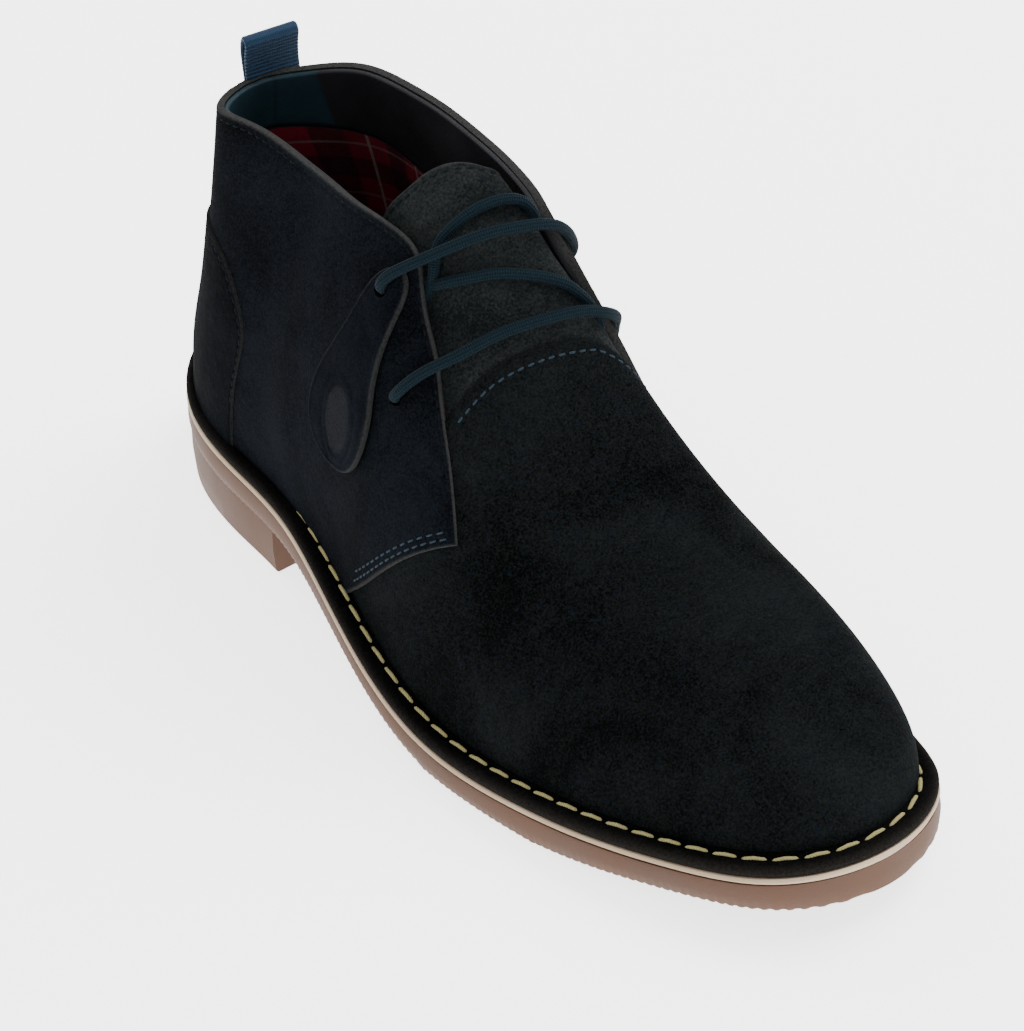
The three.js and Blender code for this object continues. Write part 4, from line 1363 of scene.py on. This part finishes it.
OUTER_QUARTER = Quarter(
    side=Side.OUTER,
    collar=(
        (29.5, 124.2), (34, 125.0), (45, 127.0), (60, 127.5), (80, 126.0), (100, 125.3), (115, 125.2),
        (123, 123.8), (127, 121.6), (130.5, 117.9),
    ),
    throat=((130.5, 117.9), (136.3, 110.1), (143.5, 101.8), (151.5, 90.3), (159.5, 78.6), (169.9, 61.4)),
    lower=((0.569, 0.213), (0.545, 0.171), (0.516, 0.120), (0.484, 0.069), (0.433, 0.013), (0.414, 0.0)),
    eyelets=((0.408, 0.257), (0.461, 0.219)),
    finish=QUARTER_SUEDE,
)
INNER_QUARTER = Quarter(
    side=Side.INNER,
    collar=(
        (29.5, 124.2), (34, 125.0), (45, 127.5), (60, 129.5), (75, 130.0), (90, 129.5), (105, 128.0),
        (120, 126.0), (130, 124.3), (138, 121.3), (144, 115.5),
    ),
    throat=(
        (144, 115.5), (149.3, 106.6), (156.1, 95.4), (161.9, 82.9), (167.6, 71.0), (173.1, 61.5), (177, 54.8),
    ),
    lower=((0.593, 0.823), (0.549, 0.907), (0.515, 0.952), (0.480, 0.986), (0.466, 1.0)),
    eyelets=((0.450, 0.742), (0.490, 0.808)),
    finish=INNER_SUEDE,
)


@dataclass
class Forepart:
    """Vamp and tongue, which meet in a stitched seam across the instep."""

    # Rows of (turn, at): the seam, the tongue's top, and the vamp's hidden back edges.
    seam_rows: tuple = (
        (0.255, 0.5095), (0.286, 0.5125), (0.354, 0.5185), (0.408, 0.5265), (0.458, 0.5345),
        (0.498, 0.5415), (0.53, 0.547), (0.572, 0.5525), (0.65, 0.558), (0.74, 0.560),
    )
    tongue_top: tuple = (
        (0.262, 0.353), (0.298, 0.366), (0.328, 0.3775), (0.368, 0.388), (0.406, 0.397),
        (0.444, 0.4055), (0.476, 0.4135), (0.500, 0.4215), (0.525, 0.432), (0.56, 0.449),
        (0.61, 0.474),
    )
    back_outer: tuple = (
        (0.0, 0.385), (0.07, 0.452), (0.12, 0.484), (0.17, 0.508), (0.2718, 0.5133),
    )
    back_inner: tuple = (
        (0.72, 0.5401), (0.80, 0.540), (0.86, 0.532), (0.91, 0.520), (0.95, 0.492), (1.0, 0.448),
    )
    # Rows of (at, turn): the quarters' edges over the tongue, and the tongue's own inner edge.
    over_outer: tuple = (
        (0.36, 0.27), (0.420, 0.319), (0.453, 0.305), (0.478, 0.298), (0.505, 0.278),
        (0.533, 0.257),
    )
    over_inner: tuple = (
        (0.43, 0.62), (0.480, 0.602), (0.498, 0.628), (0.521, 0.668), (0.541, 0.723),
        (0.561, 0.767),
    )
    own_inner: tuple = (
        (0.43, 0.51), (0.450, 0.524), (0.472, 0.540), (0.487, 0.548), (0.507, 0.580),
        (0.53, 0.66), (0.55, 0.75),
    )
    stitched_turns: tuple = (0.285, 0.712)
    tongue_turns: tuple = (0.262, 0.722)
    tongue_tuck: float = 0.028
    # Lower face of the vamp, and the slant of the quarters' lower edges across the boot.
    vamp_low: float = -2.2
    edge_slope: float = 0.62
    tongue_side: float = -2.6
    tongue_face: float = -1.25

    def seam_line(self, turn: Array) -> Array:
        """`at` of the seam between vamp and tongue, which slants across the ridge."""
        return natural_spline(*zip(*self.seam_rows))(turn)

    def vamp(self) -> Piece:
        """The vamp, with a cut edge at the tongue, going down under the quarters' lower edges."""
        turn = (1 - np.cos(np.linspace(0, np.pi, 241))) / 2
        turn = 0.55 * turn + 0.45 * np.linspace(0, 1, 241)
        outer, inner = broken_line(self.back_outer, turn), broken_line(self.back_inner, turn)
        back = np.where(turn > self.back_inner[0][0], inner, self.seam_line(turn))
        back = np.where(turn < self.back_outer[-1][0], outer, back)
        first = np.stack([swing(back), turn], 1)
        second = np.stack([np.full_like(turn, np.pi), turn], 1)
        self.chart = Chart(first, second, 130)
        at, turns, behind, _ = self.chart.grid()
        throat = smooth(0.255, 0.285, turns) * smooth(0.735, 0.705, turns)
        top = -rounded(np.where(throat > 0.5, behind, 99), 0.9) - throat * seam_dip(behind, 1.9, 0.2, 0.7)
        top -= self.under(at, turns, OUTER_QUARTER) + self.under(at, turns, INNER_QUARTER)
        return sheet("vamp", at, turns, top, self.vamp_low, cut_edge(behind, 0.6) * throat * 0.2)

    def under(self, at: Array, turn: Array, quarter: Quarter) -> Array:
        """How far the vamp goes down under a quarter: it steps down behind the quarter's edge."""
        line = np.array(quarter.lower)
        order = np.argsort(line[:, 1])
        scale = np.array([LAST.span, LINE_SCALE[1]])
        curve = through(line[order] * scale, 80) / scale
        edge_at = np.interp(turn, curve[:, 1], curve[:, 0])
        outer = quarter.side is Side.OUTER
        inside = turn <= line[:, 1].max() if outer else turn >= line[:, 1].min()
        behind = (edge_at - at) * LAST.span * self.edge_slope
        return np.where(inside, smooth(1.5, 6.0, behind), 0.0)

    def tongue(self) -> Piece:
        """The tongue: padded where it shows, flat under the quarters, tucked under the vamp."""
        share = np.linspace(0, 1, 150)
        turn = self.tongue_turns[0] + (self.tongue_turns[1] - self.tongue_turns[0]) * share
        ends = self.tongue_top[0][0], self.tongue_top[-1][0]
        top_turn = ends[0] + (ends[1] - ends[0]) * share
        top_at = natural_spline(*zip(*self.tongue_top))(top_turn)
        corner = 0.010 * (np.exp(-share / 0.05) + np.exp(-(1 - share) / 0.05))
        first = np.stack([swing(top_at + corner), top_turn], 1)
        second = np.stack([swing(self.seam_line(turn) + self.tongue_tuck), turn], 1)
        self.tongue_chart = Chart(first, second, 70)
        at, turns, away, _ = self.tongue_chart.grid()
        past_outer = (turns - broken_line(self.over_outer, at)) * TURN_LENGTH
        past_inner = (broken_line(self.over_inner, at) - turns) * TURN_LENGTH
        past_own = (turns - broken_line(self.own_inner, at)) * TURN_LENGTH
        groove = 4.6 * smooth(0.0, 4.5, past_own)
        shown = smooth(0.0, 10.0, past_outer) * smooth(0.0, 10.0, past_inner)
        shown = np.maximum(shown, smooth(14.0, 3.0, away) * 0.6)
        under_vamp = smooth(-2.0, 6.0, (at - self.seam_line(turns)) * LAST.span)
        top = self.tongue_side + (self.tongue_face - self.tongue_side) * shown * (1 - under_vamp)
        side = np.minimum(share, 1 - share)[:, None] * 100
        top = top - rounded(away, 1.4) - seam_dip(away, 2.5, 0.22) - rounded(side, 1.2) - groove
        low = self.tongue_side - groove - 1.2 - 1.6 * smooth(0.0, 12.0, away) * smooth(0.0, 12.0, side)
        return sheet("tongue_pad", at, turns, top, low + rounded(away, 0.5), cut_edge(away, 1.1))

    def build(self) -> None:
        """Builds and dresses vamp and tongue."""
        self.vamp().make(VAMP_SUEDE, "upper_suede")
        self.tongue().make(TONGUE_SUEDE, "upper_suede", ["tongue"])
        turns = self.chart.first[:, 1]
        start, stop = np.searchsorted(turns, self.stitched_turns) / (len(turns) - 1)
        place = self.chart.inset(1.9, False, start, stop)
        seam("vamp_seam_stitches", place, -0.26, SEAM_THREAD, 2.9, 2.2, 0.30)
        place = self.tongue_chart.inset(2.5, False, 0.03, 0.70)
        seam("tongue_stitches", place, self.tongue_face - 0.40, EDGE_THREAD, 3.0, 2.2, 0.27)


@dataclass
class HeelParts:
    """Counter panel round the heel and the small tab over the back seam."""

    thick: float = 2.15
    low: float = 1.2
    outer_line: tuple = (
        (0, 0.073), (0.029, 0.082), (0.09, 0.108), (0.146, 0.115), (0.175, 0.099), (0.186, 0.083),
        (0.182, 0.062), (0.175, 0.035), (0.170, 0.0),
    )
    inner_line: tuple = (
        (0, 0.927), (0.029, 0.905), (0.071, 0.881), (0.098, 0.869), (0.146, 0.867), (0.181, 0.884),
        (0.210, 0.922), (0.223, 0.959), (0.226, 1.0),
    )
    tab_half: float = 8.2
    tab_middle: float = 4.0
    tab_top: float = 123.4
    tab_drop: float = 19.0
    tab_round: float = 0.42
    tab_inset: float = 1.9

    def counter(self) -> Piece:
        """The counter: rows from the feather edge to its seam, from the outer side round the back."""
        self.charts = []
        for foot, rows in ((0.0, self.outer_line), (1.0, self.inner_line)):
            top = dense(rows, 90)
            low = np.stack([np.linspace(0, top[-1, 0], 90), np.full(90, foot)], 1)
            self.charts.append(Chart(low, top, 40))
        grids = [chart.grid() for chart in self.charts]
        at, turn, _, away = (np.concatenate([grids[0][k][::-1], grids[1][k][1:]]) for k in range(4))
        height = self.thick - rounded(away, 0.5) - seam_dip(away, 2.6, 0.22)
        return sheet("counter", at, turn, height, self.low, cut_edge(away, 0.8) * 0.55)

    def tab(self) -> Piece:
        """Back tab: a patch as wide as the pull loop, with a rounded lower end."""
        up = np.linspace(0, 1, 46)
        across = np.linspace(-1, 1, 33)
        half = self.tab_half * np.sqrt(np.clip(1 - cut_edge(up, self.tab_round) ** 2.2, 0, 1)) + 1e-4
        x = self.tab_middle + half[:, None] * across[None]
        z = np.broadcast_to(self.tab_top - self.tab_drop * (1 - up)[:, None], x.shape)
        at, turn = self.on_back(x, z)
        side = half[:, None] * (1 - np.abs(across))[None]
        away = np.minimum(side, (self.tab_drop * up)[:, None])
        top = 2.0 - rounded(away, 0.45) - seam_dip(away, self.tab_inset, 0.2, 0.7)
        return sheet("back_tab", at, turn, top, self.low, cut_edge(away, 0.7) * 0.6)

    @staticmethod
    def on_back(x: Array, z: Array) -> tuple[Array, Array]:
        """Places on the back of the heel at a distance across and a height.

        `at` is found by halving: the half width at that height grows with it.

        Args:
            x: Distances across from the sole's axis, the outer side negative.
            z: Heights.

        Returns:
            `at` and `turn`.
        """
        low, high = np.zeros_like(x), np.full_like(x, 0.12)
        outer = x < 0
        for _ in range(34):
            at = (low + high) / 2
            turn = np.where(outer, LAST.turn_at(at, z, Side.OUTER), LAST.turn_at(at, z, Side.INNER))
            reach = np.abs(LAST.point(at, turn)[..., 0] - SOLE.axis(0.0))
            low, high = np.where(reach < np.abs(x), at, low), np.where(reach < np.abs(x), high, at)
        return at, turn

    def build(self) -> None:
        """Builds and dresses the heel's pieces."""
        # The counter's darker suede is painted shade for the back of the heel.
        self.counter().make(SHADED_COUNTER_SUEDE, "upper_suede")
        for chart, side in zip(self.charts, Side):
            place = chart.inset(2.6, True, 0.02, 0.95)
            seam(f"counter_stitches_{side.name.lower()}", place, self.thick - 0.28, EDGE_THREAD)
        self.tab().make(QUARTER_SUEDE, "upper_suede")
        self.tab_stitches()

    def tab_stitches(self) -> None:
        """Stitches down one side of the tab, round its lower end and up the other side."""
        angle = np.linspace(0, np.pi, 60)
        half = self.tab_half - self.tab_inset
        x = self.tab_middle + np.concatenate([np.full(14, -half), -half * np.cos(angle), np.full(14, half)])
        low = self.tab_top - self.tab_drop + self.tab_inset
        knee = low + self.tab_round * self.tab_drop
        arc = knee - (knee - low) * np.sin(angle) ** 0.8
        down = np.linspace(self.tab_top - 2, knee, 14)
        z = np.concatenate([down, arc, down[::-1]])
        seam("tab_stitches", self.on_back(x, z), 1.75, EDGE_THREAD, 2.8, 2.1, 0.24)


@dataclass
class PullLoop:
    """Ribbed webbing folded in two, standing out of the back of the collar."""

    width: float = 16.4
    thick: float = 1.2
    middle: float = 6.4
    base: float = 30.0
    yaw: float = math.radians(-10.0)
    rib: float = 1.3
    rib_height: float = 0.12
    path: tuple = (
        (-0.9, 118.0), (-1.0, 122.0), (-1.2, 126.0), (-1.5, 130.0), (-1.3, 133.6), (-0.4, 136.4),
        (1.1, 137.7), (2.1, 137.0), (1.9, 134.6), (1.0, 131.4), (0.5, 128.0), (0.5, 123.5), (0.6, 118.0),
    )

    def build(self) -> None:
        """The webbing is a ring of four rounded sides carried along the path in side view."""
        count = 190
        line = through(self.path, count)
        forward = tangents(line)
        out = np.stack([-forward[:, 1], forward[:, 0]], 1)
        length = np.concatenate([[0], np.cumsum(np.linalg.norm(np.diff(line, axis=0), axis=1))])
        rib = self.rib_height * np.sin(FULL_TURN * length / self.rib)
        half = self.width / 2
        side = np.array([half, half - 0.15, half - 0.5, half / 2])
        across = np.concatenate([-side, [0], side[::-1]])
        thick = np.array([0.25, 0.75, 1, 1, 1, 1, 1, 0.75, 0.25]) * self.thick / 2
        x = np.concatenate([across, across[::-1]])
        height = np.concatenate([thick, -thick[::-1]])
        lift = height[None] + np.sign(height)[None] * rib[:, None] * (np.abs(height)[None] > 0.4)
        side_view = line[:, None] + out[:, None] * lift[..., None]
        cos, sin = math.cos(self.yaw), math.sin(self.yaw)
        back = -side_view[..., 0]
        verts = np.stack(
            [
                SOLE.axis(0.0) + self.middle + x[None] * cos - back * sin,
                SOLE.length / 2 - self.base + x[None] * sin + back * cos,
                side_view[..., 1],
            ],
            -1,
        )
        chart = np.stack(np.broadcast_arrays(length[:, None], x[None], 0.0), -1)
        piece = Piece("loop_webbing", verts, ring_quads(count, len(x)), chart)
        piece.make(LOOP_WEBBING, "loop_webbing", ["pull_loop"])


@dataclass
class Fob:
    """Flat suede tab on the upper outer eyelet, pressed with a plain oval."""

    top: float = 117.5
    bottom: float = 60.0
    low: float = 1.75
    thick: float = 1.7
    rows: tuple = (0.0, 0.1, 0.3, 0.48, 0.6, 0.74, 0.86, 0.95, 1.0)
    middle: tuple = (125.4, 124.6, 122.2, 120.0, 118.8, 117.8, 117.0, 116.5, 116.3)
    half: tuple = (0.0, 6.2, 8.3, 11.2, 13.6, 15.2, 14.4, 10.4, 0.0)
    oval: tuple = (118.8, 73.8, 8.8, 12.6)
    eyelet: tuple = OUTER_QUARTER.eyelets[0]
    hole: float = 2.4

    def build(self) -> None:
        """The tab is a sheet over the quarter with rounded edges and an oval trough."""
        down = (1 - np.cos(np.linspace(0, np.pi, 120))) / 2
        across = np.sin(np.linspace(-np.pi / 2, np.pi / 2, 61))
        middle = column(self.rows, self.middle)(down)
        half = np.maximum(column(self.rows, self.half)(down), 0)
        along = middle[:, None] + half[:, None] * across[None]
        height = np.broadcast_to((self.top + (self.bottom - self.top) * down)[:, None], along.shape)
        at, turn = LAST.from_side(along, height, Side.OUTER)
        slope = np.abs(np.gradient(half, height[:, 0]))[:, None]
        away = half[:, None] * (1 - np.abs(across))[None] / np.sqrt(1 + slope**2)
        oval_along, oval_height, wide, tall = self.oval
        radius = np.hypot((along - oval_along) / wide, (height - oval_height) / tall)
        ring = np.exp(-(((radius - 1.0) / 0.085) ** 2)) + 0.8 * np.exp(-(((radius - 0.78) / 0.05) ** 2))
        inner = smooth(0.78, 0.66, radius)
        rim = np.exp(-(((away - 1.9) / 0.5) ** 2))
        curl = 0.5 * smooth(0.2, 1.0, down)[:, None] * across[None] ** 2
        top = self.low + self.thick - rounded(away, 0.6) - 0.24 * ring - 0.12 * inner - 0.10 * rim + curl
        edge = cut_edge(away, 0.8) * 0.7 + 0.22 * inner
        piece = sheet("fob_tab", at, turn, top, self.low + curl + rounded(away, 0.3), edge)
        punch(piece.make(FOB_SUEDE, "fob_suede", ["fob"]), self.eyelet, self.hole)


@dataclass
class Laces:
    """Round braided laces. Each row is (at, turn, height of the cord's middle above the last)."""

    radius: float = 1.62
    steps: int = 170
    lower: tuple = (
        (0.4575, 0.213, -5.0), (0.4595, 0.217, -1.5), (0.4615, 0.2205, 1.8), (0.466, 0.2315, 3.2),
        (0.477, 0.268, 3.2), (0.495, 0.327, 2.9), (0.508, 0.392, 2.2), (0.519, 0.455, 2.0),
        (0.527, 0.520, 2.1), (0.529, 0.590, 2.6), (0.522, 0.665, 3.0), (0.509, 0.732, 2.9),
        (0.499, 0.778, 2.9), (0.4935, 0.799, 1.9), (0.4905, 0.810, -1.2), (0.4885, 0.815, -5.0),
    )
    upper: tuple = (
        (0.4045, 0.2495, -5.0), (0.4065, 0.2545, -1.0), (0.408, 0.258, 2.9), (0.411, 0.267, 4.9),
        (0.416, 0.283, 5.2), (0.425, 0.309, 4.4), (0.441, 0.362, 3.6), (0.454, 0.425, 3.0),
        (0.465, 0.492, 2.8), (0.470, 0.560, 3.0), (0.469, 0.622, 2.8), (0.463, 0.676, 2.8),
        (0.4560, 0.719, 2.8), (0.4520, 0.738, 1.7), (0.4500, 0.746, -1.2), (0.448, 0.748, -5.0),
    )
    crossing: tuple = (
        (0.426, 0.285, -3.2), (0.431, 0.300, -2.8), (0.438, 0.314, -2.3), (0.446, 0.327, -1.5),
        (0.454, 0.345, -0.3), (0.462, 0.368, 0.3), (0.470, 0.394, 0.4), (0.477, 0.420, 0.4),
        (0.484, 0.444, 0.4), (0.4915, 0.468, 0.4), (0.4995, 0.492, 0.3), (0.508, 0.522, 0.1),
        (0.516, 0.558, -0.1), (0.522, 0.600, -0.6), (0.5255, 0.645, -1.9), (0.524, 0.685, -4.4),
        (0.520, 0.710, -5.4),
    )
    loose: tuple = (
        (0.440, 0.284, -3.2), (0.442, 0.300, -2.8), (0.444, 0.318, -2.0), (0.4435, 0.333, -0.9),
        (0.4395, 0.343, 0.0), (0.436, 0.354, 0.4), (0.4345, 0.369, 0.5), (0.4355, 0.387, 0.6),
        (0.437, 0.408, 0.7), (0.439, 0.436, 0.8), (0.4415, 0.464, 0.8), (0.445, 0.492, 0.8),
        (0.450, 0.518, 0.6), (0.456, 0.541, -0.2), (0.461, 0.560, -1.8), (0.464, 0.574, -4.5),
        (0.466, 0.582, -7.0),
    )

    def cord(self, name: str, rows: tuple) -> Piece:
        """A cord smoothly through its rows, over the last."""
        at, turn, proud = np.asarray(rows, float).T
        points = LAST.skin(at, turn, proud)
        path = through(points, self.steps)
        ups = through(LAST.normal(at, turn) * 40 + points, self.steps) - path
        return tube(name, path, unit(ups), self.radius)

    def build(self) -> None:
        """Builds the four visible runs of the lace."""
        runs = (
            ("lace_bar_lower", self.lower, ["lace_lower"]),
            ("lace_bar_upper", self.upper, ["lace_upper"]),
            ("lace_crossing", self.crossing, ["lace_middle"]),
            ("lace_loose_strand", self.loose, []),
        )
        for name, rows, stands_for in runs:
            self.cord(name, rows).make(LACE_CORD, "lace_cord", stands_for)


# ---- Studio ----


@dataclass
class Studio:
    """Pale floor, soft light and the camera."""

    position: tuple = (-624.4, -893.1, 866.4)
    aim: tuple = (-4.0, -6.0, 50.0)
    roll: float = -4.4354
    lens: float = 176.0
    sensor: float = 36.0
    floor_size: float = 9.0
    floor_glow: float = 2.6
    sky: float = 1.15

    def camera(self) -> None:
        """Camera at its place, aimed at the boot and rolled a little about its view."""
        data = bpy.data.cameras.new("camera")
        data.lens, data.sensor_width = self.lens, self.sensor
        data.clip_start, data.clip_end = 0.05, 60.0
        thing = bpy.data.objects.new("camera", data)
        bpy.context.scene.collection.objects.link(thing)
        ahead = Vector(self.aim) - Vector(self.position)
        turn = ahead.to_track_quat("-Z", "Y") @ Quaternion((0.0, 0.0, 1.0), math.radians(self.roll))
        thing.matrix_world = Matrix.LocRotScale(Vector(self.position) * MM, turn, None)
        bpy.context.scene.camera = thing

    def floor(self) -> None:
        """Floor: a wide flat sheet of pale paper that glows a little."""
        size, steps = self.floor_size, 48
        mesh = bpy.data.meshes.new("floor")
        side = np.linspace(-size, size, steps)
        x, y = np.meshgrid(side, side, indexing="ij")
        verts = np.stack([x, y, np.zeros_like(x)], -1).reshape(-1, 3)
        i, j = np.meshgrid(np.arange(steps - 1), np.arange(steps - 1), indexing="ij")
        k = i * steps + j
        quads = np.stack([k, k + steps, k + steps + 1, k + 1], -1).reshape(-1, 4)
        mesh.from_pydata(verts.tolist(), [], quads.tolist())
        floor = bpy.data.objects.new("floor", mesh)
        bpy.context.scene.collection.objects.link(floor)
        nodes = Nodes("floor_paper")
        glow = {"Emission_Color": (1.0, 1.0, 1.0, 1.0), "Emission_Strength": self.floor_glow}
        paper = nodes.surface((0.88, 0.88, 0.88, 1.0), 0.9, None, Specular_IOR_Level=0.1, **glow)
        floor.data.materials.append(paper)

    def light(self, name: str, place: Sequence[float], size: float, power: float) -> None:
        """One soft square light that faces the boot."""
        data = bpy.data.lights.new(name, "AREA")
        data.energy, data.size = power, size
        thing = bpy.data.objects.new(name, data)
        bpy.context.scene.collection.objects.link(thing)
        thing.location = place
        thing.rotation_mode = "QUATERNION"
        thing.rotation_quaternion = (Vector((0, 0, 0.05)) - Vector(place)).to_track_quat("-Z", "Y")

    def build(self) -> None:
        """Builds camera, floor, sky and lights."""
        self.camera()
        self.floor()
        world = bpy.data.worlds.new("studio")
        world.use_nodes = True
        background = world.node_tree.nodes["Background"]
        background.inputs[0].default_value = (1.0, 1.0, 1.0, 1.0)
        background.inputs[1].default_value = self.sky
        bpy.context.scene.world = world
        self.light("key", (1.35, -0.1, 1.9), 1.4, 68.0)
        self.light("fill", (-1.2, -1.6, 1.5), 1.8, 9.0)
        self.light("back", (0.1, 1.9, 1.6), 1.4, 24.0)


def dress_footbed() -> None:
    """Dresses the CAD footbed, which shows only inside the boot."""
    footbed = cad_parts["footbed"]
    footbed.data.materials.clear()
    footbed.data.materials.append(FOOTBED_CLOTH.material())


def main() -> None:
    """Builds the boot and the studio in order, and reports each piece."""
    logging.basicConfig(level=logging.INFO, format="%(name)s %(message)s", stream=sys.stdout)
    Studio().build()
    Sole().build()
    Forepart().build()
    OUTER_QUARTER.build()
    INNER_QUARTER.build()
    HeelParts().build()
    PullLoop().build()
    Fob().build()
    Laces().build()
    dress_footbed()


if __name__ == "__main__":
    main()
